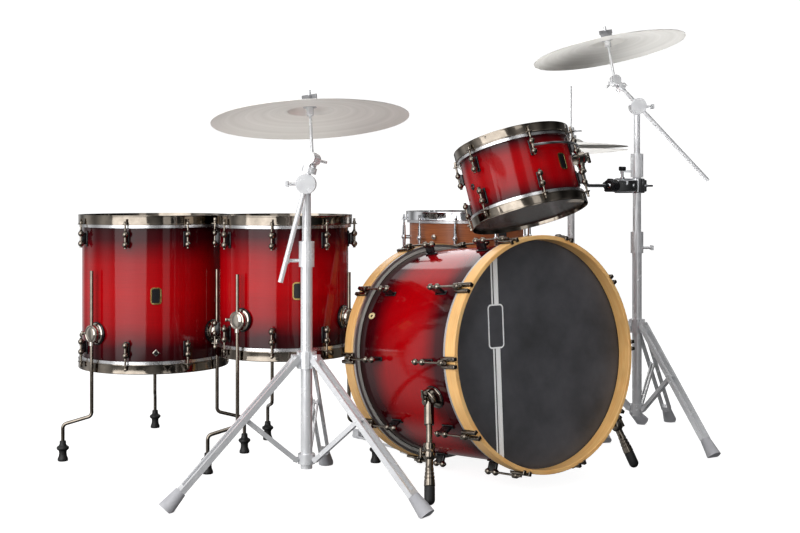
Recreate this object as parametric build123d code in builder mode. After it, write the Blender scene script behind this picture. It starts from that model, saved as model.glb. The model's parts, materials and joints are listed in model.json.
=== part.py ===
from build123d import *
import math
import os

os.makedirs("parts", exist_ok=True)

# All lengths in millimetres, all angles in degrees.
# Plan positions are (right of the audience, away from the audience), measured from the floor
# point under the middle of the bass drum's front rim. A beside value counts outward from the side
# of the bass drum's hoops, and a behind value counts away from the audience from its rear rim.
# Headings turn from the audience toward the audience's right.
kit_middle = (25.58, 631.09)

# Drum sizes
inch = 25.4
bass_radius = 11 * inch
bass_depth = 16 * inch
floor_16_radius = 8 * inch
floor_16_depth = 16.4 * inch
floor_14_radius = 7 * inch
floor_14_depth = 14.4 * inch
tom_radius = 6 * inch
tom_depth = 8 * inch
snare_radius = 7 * inch
snare_depth = 5.5 * inch
shell_wall = 7.0
edge_flat = 1.0

# Places of the drums
bass_front_lift = 40.0
floor_16_beside = 296.0
floor_16_behind = 559.28
floor_16_rim_z = 241.8
floor_16_turn = 0.0
floor_14_beside = 68.0
floor_14_behind = 202.28
floor_14_rim_z = 294.8
floor_14_turn = 5.0
tom_plan = (162.0, 290.0)
tom_over_bass = 181.5
tom_lean = (-0.0547, 0.3271, 1.0)
tom_turn = -23.7
snare_right = 299.0
snare_behind = 220.28
snare_rim_z = 524.0
snare_turn = -13.0

# Heads: film, collar and flesh hoop
film = 0.8
film_gap = 0.1
collar_gap = 0.9
collar_wall = 0.8
flesh_low = -25.0
flesh_high = -17.0
flesh_out = 8.0
bass_flesh_low = -11.0
bass_flesh_high = -2.1
bass_flesh_out = 16.0

# Flanged steel hoops, heights measured outward from the shell's edge
hoop_foot = -16.9
hoop_foot_top = -14.6
hoop_wall_top = 7.0
hoop_rim = 9.5
hoop_in = 3.0
hoop_wall_in = 8.4
hoop_wall_out = 10.6
hoop_out = 11.0
ear_reach = 26.0
ear_start = 9.5
ear_width = 21.0
ear_hole = 3.4

# Maple bass drum hoops
wood_hoop_out = 18.6
wood_hoop_wall = 11.0
wood_hoop_foot = -2.0
wood_hoop_rim = 36.0
wood_hoop_round = 2.0

# Lugs and tension rods
bead = 10.0
bead_spread = 14.0
neck = 5.0
lug_end = 25.0
lug_end_radius = 6.0
lug_bore = 3.3
lug_bore_depth = 20.0
pedestal_width = 14.0
pedestal_length = 42.0
pedestal_top = -3.0
seat_gap = 0.1
rod_radius = 2.9
rod_entry = 8.0
rod_washer = 6.0
rod_washer_thick = 1.4
rod_collar = 4.6
rod_collar_high = 5.0
rod_key = 6.0
rod_key_high = 8.0
tom_standoff = 18.0
tom_lug_drop = 56.6
bass_standoff = 28.6
bass_lug_drop = 94.0
bass_lug_count = 10
floor_lug_count = 8
tom_lug_count = 6
snare_lug_count = 10
snare_standoff = 18.0
snare_tube = 5.6
snare_tube_tip = 4.4
snare_tube_half = 36.0
snare_ball = 8.5
snare_post = 6.0
snare_rod_entry = 20.0

# Claws on the bass drum hoops
claw_gap = 0.4
claw_thick = 4.5
claw_prong = 7.0
claw_spread = 9.0
claw_tail = 48.0
claw_bridge = 12.0
claw_hook = 12.0
claw_eye = 7.5
claw_eye_high = 16.0

# Spurs of the bass drum
spur_drop = 18.4
spur_behind_rim = 128.0
spur_foot_beside = 46.0
spur_foot_behind = 37.0
spur_plate = (66.0, 62.0, 9.0)
spur_pin = 5.0
spur_pin_high = 32.0
spur_fit = 0.06
spur_knuckle = 15.0
spur_knuckle_low = 9.4
spur_knuckle_high = 29.0
spur_cap = 9.0
spur_cap_high = 6.0
spur_socket = 12.3
spur_socket_run = 62.0
spur_rod = 7.5
spur_rod_end = 0.67
spur_sleeve = 14.5
spur_sleeve_start = 0.45
spur_sleeve_end = 0.68
spur_cone_waist = 11.0
spur_cone_end = 0.88
spur_cone_foot = 13.6
spur_bore_end = 0.82
spur_tip = 13.0
spur_clear = 0.3

# Floor tom legs
leg_turns = (-74.0, 27.0, 155.0)
leg_swings = (-45.0, 45.0, 0.0)
leg_screw_sides = (1, -1, 1)
leg_rod = 5.0
leg_standoff = 20.0
leg_top_z = 524.0
leg_bend_z = 122.0
leg_lower_z = 100.0
leg_offset = 78.0
leg_bend = 14.0
leg_end_z = 18.0
leg_fit = 0.3
foot_high = 55.0
foot_wide = 17.0
foot_neck = 9.0
foot_shoulder_z = 36.0
foot_base = 14.0
bracket_rise = 107.2
bracket_base = 32.0
bracket_base_thick = 8.0
bracket_body = 25.0
bracket_reach = 28.0
bracket_screw = 4.0
bracket_screw_out = 9.0
bracket_wing = (5.0, 18.0, 10.0)

# Tom suspension, arm and clamp
strap_in = 23.4
strap_thick = 3.0
strap_high = 7.0
strap_arc = 120.0
tom_post_heading = 85.0
tom_post_out = 223.0
tom_receiver = 12.0
tom_receiver_low = -44.0
tom_receiver_high = 24.0
tom_arm_low = -82.0
tom_arm_rod = 5.2
tom_arm_fit = 0.06
tom_arm_top = 40.0
tom_arm_bend = 12.0
tom_ball = 14.0
tom_ball_at = 122.0
tom_arm_beyond = 20.0
tom_bridge_width = 30.0
tom_housing = 20.0
tom_housing_in = 14.0
tom_housing_out = 21.0
clamp_high = 44.0
clamp_wide = 40.0
clamp_back = 30.0
clamp_socket = 21.0
clamp_socket_long = 30.0
clamp_bore = 10.0
clamp_ball_gap = 0.3
clamp_screw = 4.0
clamp_screw_out = 22.0
clamp_wing = (34.0, 6.0, 13.0)

# Boom stands, heights over the tom counted from its middle
left_stand_beside = 237.6
left_stand_back = 282.1
right_stand_beside = 344.0
right_stand_back = 308.0
mast_under_tom = 137.5
ratchet_over_tom = 221.5
middle_over_tom = 44.5
middle_sleeve_over_tom = (8.5, 79.5)
tube_low_radius = 14.3
tube_wall = 1.4
tube_foot_below = 24.0
hub_radius = 24.0
hub_half = 20.0
hub_pivot = 31.0
leg_bar = (7.0, 14.0)
leg_bar_side = 11.0
leg_pin = 4.0
brace_pin = 3.0
pin_gap = 0.3
ear_thick = 14.4
knee_share = 0.40
brace_bar = (4.0, 11.0)
brace_side = 4.6
collar_radius = 21.0
collar_half = 12.0
collar_pivot = 28.8
collar_ear = 4.4
rubber_long = 54.0
rubber_neck = 14.0
rubber_wide = 20.0
rubber_end_z = 5.0
sleeve_radius = 19.0
sleeve_wing = (5.0, 34.0, 14.0)
sleeve_screw = 4.0
sleeve_screw_out = 26.0
slide_gap = 0.3
tilter_radius = 24.0
tilter_back = 13.0
tilter_face = 4.0
tilter_gap = 0.3
tilter_front = 33.0
tilter_pin = 4.0
tilter_pin_end = 15.0
tilter_fit = 0.06
boom_out = 24.0
boom_radius = 6.3
wing_shaft = 4.0
wing_out = 24.0
wing_size = (6.0, 30.0, 14.0)
clevis_in = 8.0
clevis_out = 18.0
clevis_radius = 15.0
clevis_base = 21.0
clevis_foot = 36.0
handle_out = 22.0
handle_bar = 38.0
handle_radius = 3.6
stud_disc = 16.0
stud_radius = 4.0
stud_shoulder = 9.0
stud_shoulder_below = 20.0
stud_above = 34.0
bolt_gap = 0.1
ratchet_heading = -35.5

# Cymbals
cymbal_thick = 1.3
cymbal_hole = 6.0
cymbal_bow = 24.0
bell_share = 0.23
bell_high = 18.0
bell_bulge = 0.72
bow_bulge = 0.60
felt_radius = 17.0
felt_high = 9.0
felt_gap = 0.3
sleeve_in_hole = 5.4
nut_radius = 8.0
nut_high = 9.0
nut_wing = (5.0, 40.0, 12.0)

# Hi-hat
hat_beside = 299.0
hat_behind = 69.28
hat_radius = 7 * inch
hat_bell_high = 13.0
hat_bow = 13.0
hat_low_rim_z = 873.8
hat_gap = 9.8
hat_leg_headings = (-20.0, 70.0)
hat_leg_reach = 250.0
hat_hub_z = 232.0
hat_collar_z = 96.0
hat_tube_top = 560.0
hat_upper_radius = 11.0
hat_upper_bore = 3.3
hat_rod = 3.0
hat_rod_low = 118.0
hat_rod_top = 1075.0
hat_clutch = 10.0
hat_clutch_high = 34.0
hat_seat = 17.0
hat_seat_high = 10.0
hat_case = (46.0, 40.0)
hat_case_low = 6.0
hat_case_window = (30.0, 60.0)
hat_heel = 268.0

# Foot pedals
board_width = 76.0
board_thick = 6.0
board_toe_high = 58.0
heel_high = 18.0
heel_long = 62.0
heel_pin = 4.0
heel_fit = 0.06
heel_ear = 8.0
board_play = 1.0
plate_thick = 5.0
rail_radius = 3.5
rail_side = 46.0
pedal_behind = 64.28
pedal_reach = 262.0
pedal_post = (12.0, 16.0)
pedal_post_side = 52.0
pedal_axle_z = 132.0
pedal_axle = 5.0
pedal_axle_fit = 0.06
pedal_cam = 17.0
pedal_cam_half = 11.0
jaw_width = 30.0
jaw_rise = 13.5
jaw_thick = 6.0
jaw_bite = 24.0
jaw_gap = 0.7
beater_long = 178.0
beater_rod = 3.2
beater_rest = 27.0
beater_radius = 21.0
beater_head_half = 19.0

# Snare drum fittings and stand
wires = (42.0, 322.0, 1.4)
wires_gap = 0.3
strainer_heading = 175.0
strainer = (30.0, 15.0, 62.0)
butt = (30.0, 12.0, 34.0)
lever = (7.0, 5.0, 56.0)
lever_pin = 3.0
lever_knuckle = 5.0
lever_fit = 0.06
lever_pivot_z = -24.0
lever_slot = 8.0
snare_leg_headings = (-5.0, 115.0, 235.0)
snare_leg_reach = 230.0
snare_hub_z = 236.0
snare_collar_z = 92.0
snare_tube_top = 420.0
basket_stem = 10.5
basket_low_z = 300.0
basket_arm_z = 494.0
basket_arm = 5.0
basket_bend = 16.0
basket_reach = 203.0
basket_hook_z = 540.0
basket_headings = (3.0, 123.0, 243.0)
basket_hub = 24.0
basket_hub_half = 11.0
pad_grip = 9.0
pad_grip_long = 26.0
pad_seat = (15.0, 22.0)
pad_seat_in = 184.0

bass_rim_to_rim = bass_depth + 2 * wood_hoop_rim
bass_hoop_radius = bass_radius + wood_hoop_out
tom_middle_z = 2 * bass_hoop_radius + tom_over_bass

stands = {
    "left": {
        "plan": (-bass_hoop_radius - left_stand_beside, left_stand_back),
        "legs": (-100.0, 20.0, 140.0),
        "reach": 352.0,
        "hub_z": 333.0,
        "collar_z": 92.0,
        "low_top": 590.0,
        "sleeve": (560.0, 622.0),
        "upper_radius": 11.0,
        "upper_low": 300.0,
        "tilt_z": 762.0,
        "boom_heading": 54.5,
        "boom_lean": 14.5,
        "boom_tail": 246.0,
        "boom_front": 63.0,
        "cymbal_radius": 9.5 * inch,
        "cymbal_axis": (0.0357, 0.1493, 1.0),
        "cymbal_rise": 94.0,
        "handle": -1.0,
        "middle": None,
    },
    "right": {
        "plan": (bass_hoop_radius + right_stand_beside, right_stand_back),
        "legs": (-4.7, 114.3, -124.7),
        "reach": 318.0,
        "hub_z": 339.0,
        "collar_z": 92.0,
        "low_top": 590.0,
        "sleeve": (558.0, 622.0),
        "upper_radius": 9.5,
        "upper_low": tom_middle_z - mast_under_tom,
        "tilt_z": tom_middle_z + ratchet_over_tom,
        "boom_heading": -125.5,
        "boom_lean": 43.0,
        "boom_tail": 305.0,
        "boom_front": 104.0,
        "cymbal_radius": 9 * inch,
        "cymbal_axis": (-0.0766, 0.1838, 1.0),
        "cymbal_rise": 91.0,
        "handle": 1.0,
        "middle": {
            "radius": 12.5,
            "low": 300.0,
            "top": tom_middle_z + middle_over_tom,
            "sleeve": tuple(tom_middle_z + rise for rise in middle_sleeve_over_tom),
        },
    },
}

LOW = (Align.CENTER, Align.CENTER, Align.MIN)
UP = Vector(0, 0, 1)


def toward(heading):
    turn = math.radians(heading)
    return Vector(math.sin(turn), -math.cos(turn), 0)


def at(plan, height):
    return Vector(plan[0] - kit_middle[0], plan[1] - kit_middle[1], height)


def upright(plan, height, heading=0.0):
    return Plane(origin=at(plan, height), x_dir=toward(heading), z_dir=UP)


def side_of(frame):
    return Plane(origin=frame.origin, x_dir=frame.x_dir, z_dir=-frame.y_dir)


def turned(frame, outline):
    """Solid of revolution about the frame's Z, from (radius, height) points."""
    with BuildPart() as piece:
        with BuildSketch(side_of(frame)):
            with BuildLine():
                Polyline(*outline, close=True)
            make_face()
        revolve(axis=Axis(frame.origin, frame.z_dir))
    return piece.part


def rod(start, end, radius, mode=Mode.ADD):
    """Round bar between two points, added to the open sub-part."""
    run = Vector(end) - Vector(start)
    with Locations(Plane(origin=start, z_dir=run).location):
        Cylinder(radius, run.length, align=LOW, mode=mode)


def block(frame, size, align=LOW, mode=Mode.ADD):
    """Box in a frame, added to the open sub-part."""
    with Locations(frame.location):
        Box(*size, align=align, mode=mode)


def keep(name, *pieces):
    """Label one node and write its STEP file."""
    node = Compound([solid for piece in pieces for solid in piece.solids()])
    node.label = name
    export_step(node, f"parts/{name}.step")
    return node


# Drum frames: Z along the drum toward the batter head, or toward the audience for the bass drum
bass_tilt = math.degrees(math.asin(bass_front_lift / bass_rim_to_rim))
bass_axis = Vector(0, -math.cos(math.radians(bass_tilt)), math.sin(math.radians(bass_tilt)))
bass_back = bass_rim_to_rim * math.cos(math.radians(bass_tilt))
bass_rear_z = bass_hoop_radius * math.cos(math.radians(bass_tilt))
bass_front = at((0.0, 0.0), bass_rear_z + bass_front_lift)
bass_frame = Plane(bass_front - bass_axis * (bass_rim_to_rim / 2), x_dir=(1, 0, 0), z_dir=bass_axis)
floor_16_plan = (-bass_hoop_radius - floor_16_beside, bass_back + floor_16_behind)
floor_14_plan = (-bass_hoop_radius - floor_14_beside, bass_back + floor_14_behind)
snare_plan = (snare_right, bass_back + snare_behind)
floor_16_frame = upright(floor_16_plan, floor_16_rim_z + hoop_rim + floor_16_depth / 2)
floor_14_frame = upright(floor_14_plan, floor_14_rim_z + hoop_rim + floor_14_depth / 2)
snare_frame = upright(snare_plan, snare_rim_z + hoop_rim + snare_depth / 2)
tom_axis = Vector(*tom_lean).normalized()
tom_ahead = (toward(0.0) - tom_axis * toward(0.0).dot(tom_axis)).normalized()
tom_frame = Plane(at(tom_plan, tom_middle_z), x_dir=tom_ahead, z_dir=tom_axis)


def stations(frame, count, turn, radius, height, ends=(1, -1)):
    """Tension stations round a drum: X outward, Z toward the head of that end."""
    places = []
    for end in ends:
        flip = 0 if end > 0 else 180
        for step in range(count):
            spin = Location((0, 0, 0), (0, 0, turn + step * 360 / count))
            places.append(frame.location * spin * Location((radius, 0, end * height), (flip, 0, 0)))
    return places


def shell(frame, radius, depth):
    half = depth / 2
    inner = radius - shell_wall
    slope = half - shell_wall + 2 * edge_flat
    outline = [
        (inner, -slope),
        (radius - edge_flat, -half),
        (radius, -half + edge_flat),
        (radius, half - edge_flat),
        (radius - edge_flat, half),
        (inner, slope),
    ]
    return turned(frame, outline)


def head(frame, radius, depth, end, low, high, out):
    """Film on one end of a drum, and the flesh hoop with the collar that carries it."""
    inner = radius + collar_gap
    outer = inner + collar_wall
    sheet = [(0, film_gap), (outer, film_gap), (outer, film_gap + film), (0, film_gap + film)]
    collar_top = film_gap - seat_gap
    flesh = [
        (inner, collar_top),
        (inner, low),
        (radius + out, low),
        (radius + out, high),
        (outer, high),
        (outer, collar_top),
    ]
    return [turned(frame, [(r, end * (depth / 2 + z)) for r, z in outline]) for outline in (sheet, flesh)]


def head_pair(frame, radius, depth, *cut):
    """Batter head and resonant head of one drum."""
    return [piece for end in (1, -1) for piece in head(frame, radius, depth, end, *cut)]


def flanged_hoop(frame, radius, depth, end, count, turn, standoff):
    """Steel hoop with an ear and a rod hole at every station."""
    outline = [
        (hoop_in, hoop_foot),
        (hoop_out, hoop_foot),
        (hoop_out, hoop_foot_top),
        (hoop_wall_out, hoop_foot_top),
        (hoop_wall_out, hoop_wall_top),
        (hoop_out, hoop_wall_top),
        (hoop_out, hoop_rim),
        (hoop_wall_in, hoop_rim),
        (hoop_wall_in, hoop_foot_top),
        (hoop_in, hoop_foot_top),
    ]
    points = [(radius + r, end * (depth / 2 + z)) for r, z in outline]
    low = min(end * (depth / 2 + hoop_foot), end * (depth / 2 + hoop_foot_top))
    with BuildPart() as hoop:
        with BuildSketch(side_of(frame)):
            with BuildLine():
                Polyline(*points, close=True)
            make_face()
        revolve(axis=Axis(frame.origin, frame.z_dir))
        with BuildSketch(frame.offset(low)):
            with PolarLocations(radius + (ear_start + ear_reach) / 2, count, start_angle=turn):
                Rectangle(ear_reach - ear_start, ear_width)
            with PolarLocations(radius + standoff, count, start_angle=turn):
                Circle(ear_hole, mode=Mode.SUBTRACT)
        extrude(amount=hoop_foot_top - hoop_foot)
    return hoop.part


def wood_hoop(end):
    """Maple hoop of the bass drum with rounded edges."""
    outer = bass_hoop_radius
    inner = bass_hoop_radius - wood_hoop_wall
    low = end * (bass_depth / 2 + wood_hoop_foot)
    rim = end * (bass_depth / 2 + wood_hoop_rim)
    with BuildPart() as hoop:
        with BuildSketch(side_of(bass_frame)) as section:
            with BuildLine():
                Polyline((inner, low), (outer, low), (outer, rim), (inner, rim), close=True)
            make_face()
            fillet(section.vertices(), wood_hoop_round)
        revolve(axis=Axis(bass_frame.origin, bass_frame.z_dir))
    return hoop.part


def lug(standoff):
    """Two beads with a slim neck on a pedestal, Z toward the head and X away from the shell."""
    with BuildPart() as piece:
        with Locations((0, 0, bead_spread), (0, 0, -bead_spread)):
            Sphere(bead)
        Cylinder(neck, 2 * bead_spread)
        for end in (-1, 1):
            rod((0, 0, end * bead_spread), (0, 0, end * lug_end), lug_end_radius)
        rise = standoff - seat_gap + pedestal_top
        with Locations((pedestal_top - rise / 2, 0, 0)):
            Box(rise, pedestal_width, pedestal_length)
        with Locations((0, 0, lug_end - lug_bore_depth)):
            Cylinder(lug_bore, lug_bore_depth, align=LOW, mode=Mode.SUBTRACT)
    return piece.part


def tension_rod(start, seat):
    """Key rod from inside its lug to the washer and key on its seat."""
    with BuildPart() as piece:
        rod((0, 0, start), (0, 0, seat + rod_washer_thick), rod_radius)
        rod((0, 0, seat + seat_gap), (0, 0, seat + rod_washer_thick), rod_washer)
        rod((0, 0, seat + rod_washer_thick), (0, 0, seat + rod_washer_thick + rod_collar_high), rod_collar)
        key = Plane((0, 0, seat + rod_washer_thick + rod_collar_high), z_dir=UP)
        block(key, (rod_key, rod_key, rod_key_high))
    return piece.part


def claw():
    """Two-prong claw hooked over the maple hoop, in its tension station."""
    rim = bass_lug_drop + wood_hoop_rim
    face = wood_hoop_out - bass_standoff + claw_gap
    low = rim - claw_tail
    tip = rim + claw_gap
    with BuildPart() as piece:
        for side in (-claw_spread, claw_spread):
            prong = Plane((face + claw_thick / 2, side, low), z_dir=UP)
            block(prong, (claw_thick, claw_prong, claw_tail + claw_gap + claw_thick))
            hook = Plane((face + claw_thick - claw_hook / 2, side, tip), z_dir=UP)
            block(hook, (claw_hook, claw_prong, claw_thick))
        bridge = Plane((face + claw_thick / 2, 0, low), z_dir=UP)
        block(bridge, (claw_thick, 2 * claw_spread + claw_prong, claw_bridge))
        rod((0, 0, low), (0, 0, low + claw_eye_high), claw_eye)
        rod((0, 0, low - claw_eye), (0, 0, low + claw_tail), ear_hole, mode=Mode.SUBTRACT)
    return piece.part


# Bass drum
keep("bass_shell", shell(bass_frame, bass_radius, bass_depth))
keep("bass_hoops", wood_hoop(1), wood_hoop(-1))
bass_head_cut = (bass_flesh_low, bass_flesh_high, bass_flesh_out)
keep("bass_front_head", *head(bass_frame, bass_radius, bass_depth, 1, *bass_head_cut))
keep("bass_batter_head", *head(bass_frame, bass_radius, bass_depth, -1, *bass_head_cut))
bass_places = stations(
    bass_frame, bass_lug_count, 0.0, bass_radius + bass_standoff, bass_depth / 2 - bass_lug_drop
)
bass_lug = lug(bass_standoff)
keep("bass_lugs", *[bass_lug.moved(place) for place in bass_places])
bass_claw = claw()
keep("bass_claws", *[bass_claw.moved(place) for place in bass_places])
claw_seat = bass_lug_drop + wood_hoop_rim - claw_tail + claw_eye_high
bass_rod = tension_rod(rod_entry, claw_seat)
bass_rods = [bass_rod.moved(place) for place in bass_places]

# Spurs: a pin standing on a shell plate, a knuckle that folds on it and a foot that slides
spurs = {}
spur_plates = []
for side, angle, sign in (("left", 180.0 + spur_drop, -1), ("right", -spur_drop, 1)):
    spin = math.radians(angle)
    outward = bass_frame.x_dir * math.cos(spin) + bass_frame.y_dir * math.sin(spin)
    along = bass_rim_to_rim / 2 - spur_behind_rim
    seat = bass_frame.origin + bass_frame.z_dir * along + outward * (bass_radius + seat_gap)
    plate_frame = Plane(seat, x_dir=bass_frame.z_dir, z_dir=outward)
    pivot = seat + outward * ((spur_knuckle_low + spur_knuckle_high) / 2)
    tip = at((sign * (bass_hoop_radius + spur_foot_beside), spur_foot_behind), spur_tip)
    run = tip - pivot
    line = run.normalized()
    with BuildPart() as plate:
        block(plate_frame, spur_plate)
        rod(seat, seat + outward * spur_pin_high, spur_pin)
        rod(seat + outward * spur_pin_high, seat + outward * (spur_pin_high + spur_cap_high), spur_cap)
    spur_plates.append(plate.part)
    low = seat + outward * spur_knuckle_low
    high = seat + outward * spur_knuckle_high
    with BuildPart() as spur_leg:
        rod(low, high, spur_knuckle)
        rod(pivot, pivot + line * spur_socket_run, spur_socket)
        rod(pivot, pivot + run * spur_rod_end, spur_rod)
        below = seat - outward * spur_knuckle
        split(bisect_by=Plane(low, z_dir=outward), keep=Keep.TOP)
        rod(below, high + outward, spur_pin + spur_fit, mode=Mode.SUBTRACT)
        far = high + outward * spur_clear
        rod(high, far + outward * spur_knuckle, spur_cap + spur_clear, mode=Mode.SUBTRACT)
    keep(f"{side}_spur_leg", spur_leg.part)
    with BuildPart() as spur_foot:
        rod(pivot + run * spur_sleeve_start, pivot + run * spur_sleeve_end, spur_sleeve)
        cone_start = pivot + run * spur_sleeve_end
        with Locations(Plane(cone_start, z_dir=line).location):
            cone_long = run.length * (spur_cone_end - spur_sleeve_end)
            Cone(spur_cone_waist, spur_cone_foot, cone_long, align=LOW)
        bore_start = pivot + run * spur_sleeve_start
        rod(bore_start, pivot + run * spur_bore_end, spur_rod + spur_clear, mode=Mode.SUBTRACT)
    with BuildPart() as spur_rubber:
        rod(pivot + run * spur_cone_end + line * seat_gap, tip, spur_tip)
        with Locations(tip):
            Sphere(spur_tip)
    keep(f"{side}_spur_foot", spur_foot.part, spur_rubber.part)
    spurs[side] = {"seat": seat, "outward": outward, "pivot": pivot, "line": line, "tip": tip}
keep("spur_brackets", *spur_plates)


def floor_tom(name, frame, radius, depth, turn, rim_z):
    """Shell, heads, hoops, lugs, rods, leg brackets and legs of one floor tom."""
    places = stations(frame, floor_lug_count, turn, radius + tom_standoff, depth / 2 - tom_lug_drop)
    seat = tom_lug_drop + hoop_foot_top
    rods = tension_rod(rod_entry, seat)
    pieces = {
        "shell": shell(frame, radius, depth),
        "heads": head_pair(frame, radius, depth, flesh_low, flesh_high, flesh_out),
        "hoops": [
            flanged_hoop(frame, radius, depth, end, floor_lug_count, turn, tom_standoff)
            for end in (1, -1)
        ],
        "lugs": [tom_lug.moved(place) for place in places],
        "rods": [rods.moved(place) for place in places],
        "brackets": [],
        "legs": [],
        "feet": [],
    }
    for leg_turn, swing, screw_side in zip(leg_turns, leg_swings, leg_screw_sides):
        out = toward(leg_turn + turn)
        middle = Vector(frame.origin.X, frame.origin.Y, 0)
        line = middle + out * (radius + leg_standoff)
        foot = line + toward(leg_turn + turn + swing) * leg_offset
        mount = middle + out * (radius + seat_gap) + UP * (rim_z + bracket_rise)
        aside = out.cross(UP) * screw_side
        with BuildPart() as bracket:
            rod(mount, mount + out * bracket_base_thick, bracket_base)
            rod(mount, mount + out * bracket_reach, bracket_body)
            screw = mount + out * leg_standoff
            end = screw + aside * (bracket_body + bracket_screw_out)
            rod(screw, end, bracket_screw)
            block(Plane(end, x_dir=aside, z_dir=UP), bracket_wing, align=(Align.CENTER,) * 3)
            rod(line, line + UP * leg_top_z, leg_rod + leg_fit, mode=Mode.SUBTRACT)
        pieces["brackets"].append(bracket.part)
        with BuildPart() as leg:
            with BuildLine():
                FilletPolyline(
                    line + UP * leg_top_z,
                    line + UP * leg_bend_z,
                    foot + UP * leg_lower_z,
                    foot + UP * leg_end_z,
                    radius=leg_bend,
                )
            with BuildSketch(Plane(line + UP * leg_top_z, z_dir=-UP)):
                Circle(leg_rod)
            sweep()
        pieces["legs"].append(leg.part)
        bore = leg_rod + seat_gap
        outline = [
            (0, 0),
            (foot_base, 0),
            (foot_wide, foot_shoulder_z),
            (foot_neck, foot_high),
            (bore, foot_high),
            (bore, leg_end_z - seat_gap),
            (0, leg_end_z - seat_gap),
        ]
        pieces["feet"].append(turned(Plane(foot, z_dir=UP), outline))
    keep(f"{name}_shell", pieces["shell"])
    keep(f"{name}_legs", *pieces["legs"])
    keep(f"{name}_feet", *pieces["feet"])
    return pieces


tom_lug = lug(tom_standoff)
floor_16_size = (floor_16_radius, floor_16_depth, floor_16_turn, floor_16_rim_z)
floor_16 = floor_tom("floor_tom_16", floor_16_frame, *floor_16_size)
floor_14_size = (floor_14_radius, floor_14_depth, floor_14_turn, floor_14_rim_z)
floor_14 = floor_tom("floor_tom_14", floor_14_frame, *floor_14_size)
keep("floor_tom_heads", *floor_16["heads"], *floor_14["heads"])
keep("floor_tom_hoops", *floor_16["hoops"], *floor_14["hoops"])
keep("floor_tom_lugs", *floor_16["lugs"], *floor_14["lugs"])
keep("tension_rods", *bass_rods, *floor_16["rods"], *floor_14["rods"])
keep("floor_tom_brackets", *floor_16["brackets"], *floor_14["brackets"])

# Rack tom
keep("rack_tom_shell", shell(tom_frame, tom_radius, tom_depth))
tom_head_cut = (flesh_low, flesh_high, flesh_out)
keep("rack_tom_heads", *head_pair(tom_frame, tom_radius, tom_depth, *tom_head_cut))
tom_hoop_cut = (tom_lug_count, tom_turn, tom_standoff)
tom_hoops = [flanged_hoop(tom_frame, tom_radius, tom_depth, end, *tom_hoop_cut) for end in (1, -1)]
keep("rack_tom_hoops", *tom_hoops)
tom_lug_z = tom_depth / 2 - tom_lug_drop
tom_places = stations(tom_frame, tom_lug_count, tom_turn, tom_radius + tom_standoff, tom_lug_z)
keep("rack_tom_lugs", *[tom_lug.moved(place) for place in tom_places])
tom_rod = tension_rod(rod_entry, tom_lug_drop + hoop_foot_top)
keep("rack_tom_rods", *[tom_rod.moved(place) for place in tom_places])

# Suspension strap round the upper lugs with the receiver for the arm
post_spin = math.radians(tom_post_heading)
post_out = tom_frame.x_dir * math.cos(post_spin) + tom_frame.y_dir * math.sin(post_spin)
post_middle = tom_frame.origin + post_out * tom_post_out + tom_axis * tom_lug_z
strap_spin = math.radians(tom_turn)
strap_side = tom_frame.x_dir * math.cos(strap_spin) + tom_frame.y_dir * math.sin(strap_spin)
strap_frame = Plane(tom_frame.origin + tom_axis * tom_lug_z, x_dir=strap_side, z_dir=tom_axis)
strap_radius = tom_radius + strap_in + strap_thick / 2
bridge_start = tom_frame.origin + post_out * (tom_radius + strap_in) + tom_axis * tom_lug_z
with BuildPart() as tom_bracket:
    with BuildSketch(side_of(strap_frame)):
        with Locations((strap_radius, 0)):
            Rectangle(strap_thick, strap_high)
    revolve(axis=Axis(strap_frame.origin, tom_axis), revolution_arc=strap_arc)
    bridge_run = tom_post_out - tom_radius - strap_in
    bridge_frame = Plane(bridge_start, x_dir=tom_axis, z_dir=post_out)
    block(bridge_frame, (strap_high, tom_bridge_width, bridge_run))
    rod(post_middle + tom_axis * tom_receiver_low, post_middle + tom_axis * tom_receiver_high, tom_receiver)
    rod(post_middle - post_out * tom_housing_in, post_middle + post_out * tom_housing_out, tom_housing)
    screw_end = post_middle + post_out * (tom_receiver + clamp_screw_out)
    rod(post_middle, screw_end, clamp_screw)
    block(Plane(screw_end, x_dir=tom_axis, z_dir=post_out), clamp_wing, align=(Align.CENTER,) * 3)
    bore_half = tom_axis * tom_post_out
    arm_fit = tom_arm_rod + tom_arm_fit
    rod(post_middle - bore_half, post_middle + bore_half, arm_fit, mode=Mode.SUBTRACT)
keep("rack_tom_bracket", tom_bracket.part)

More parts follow.
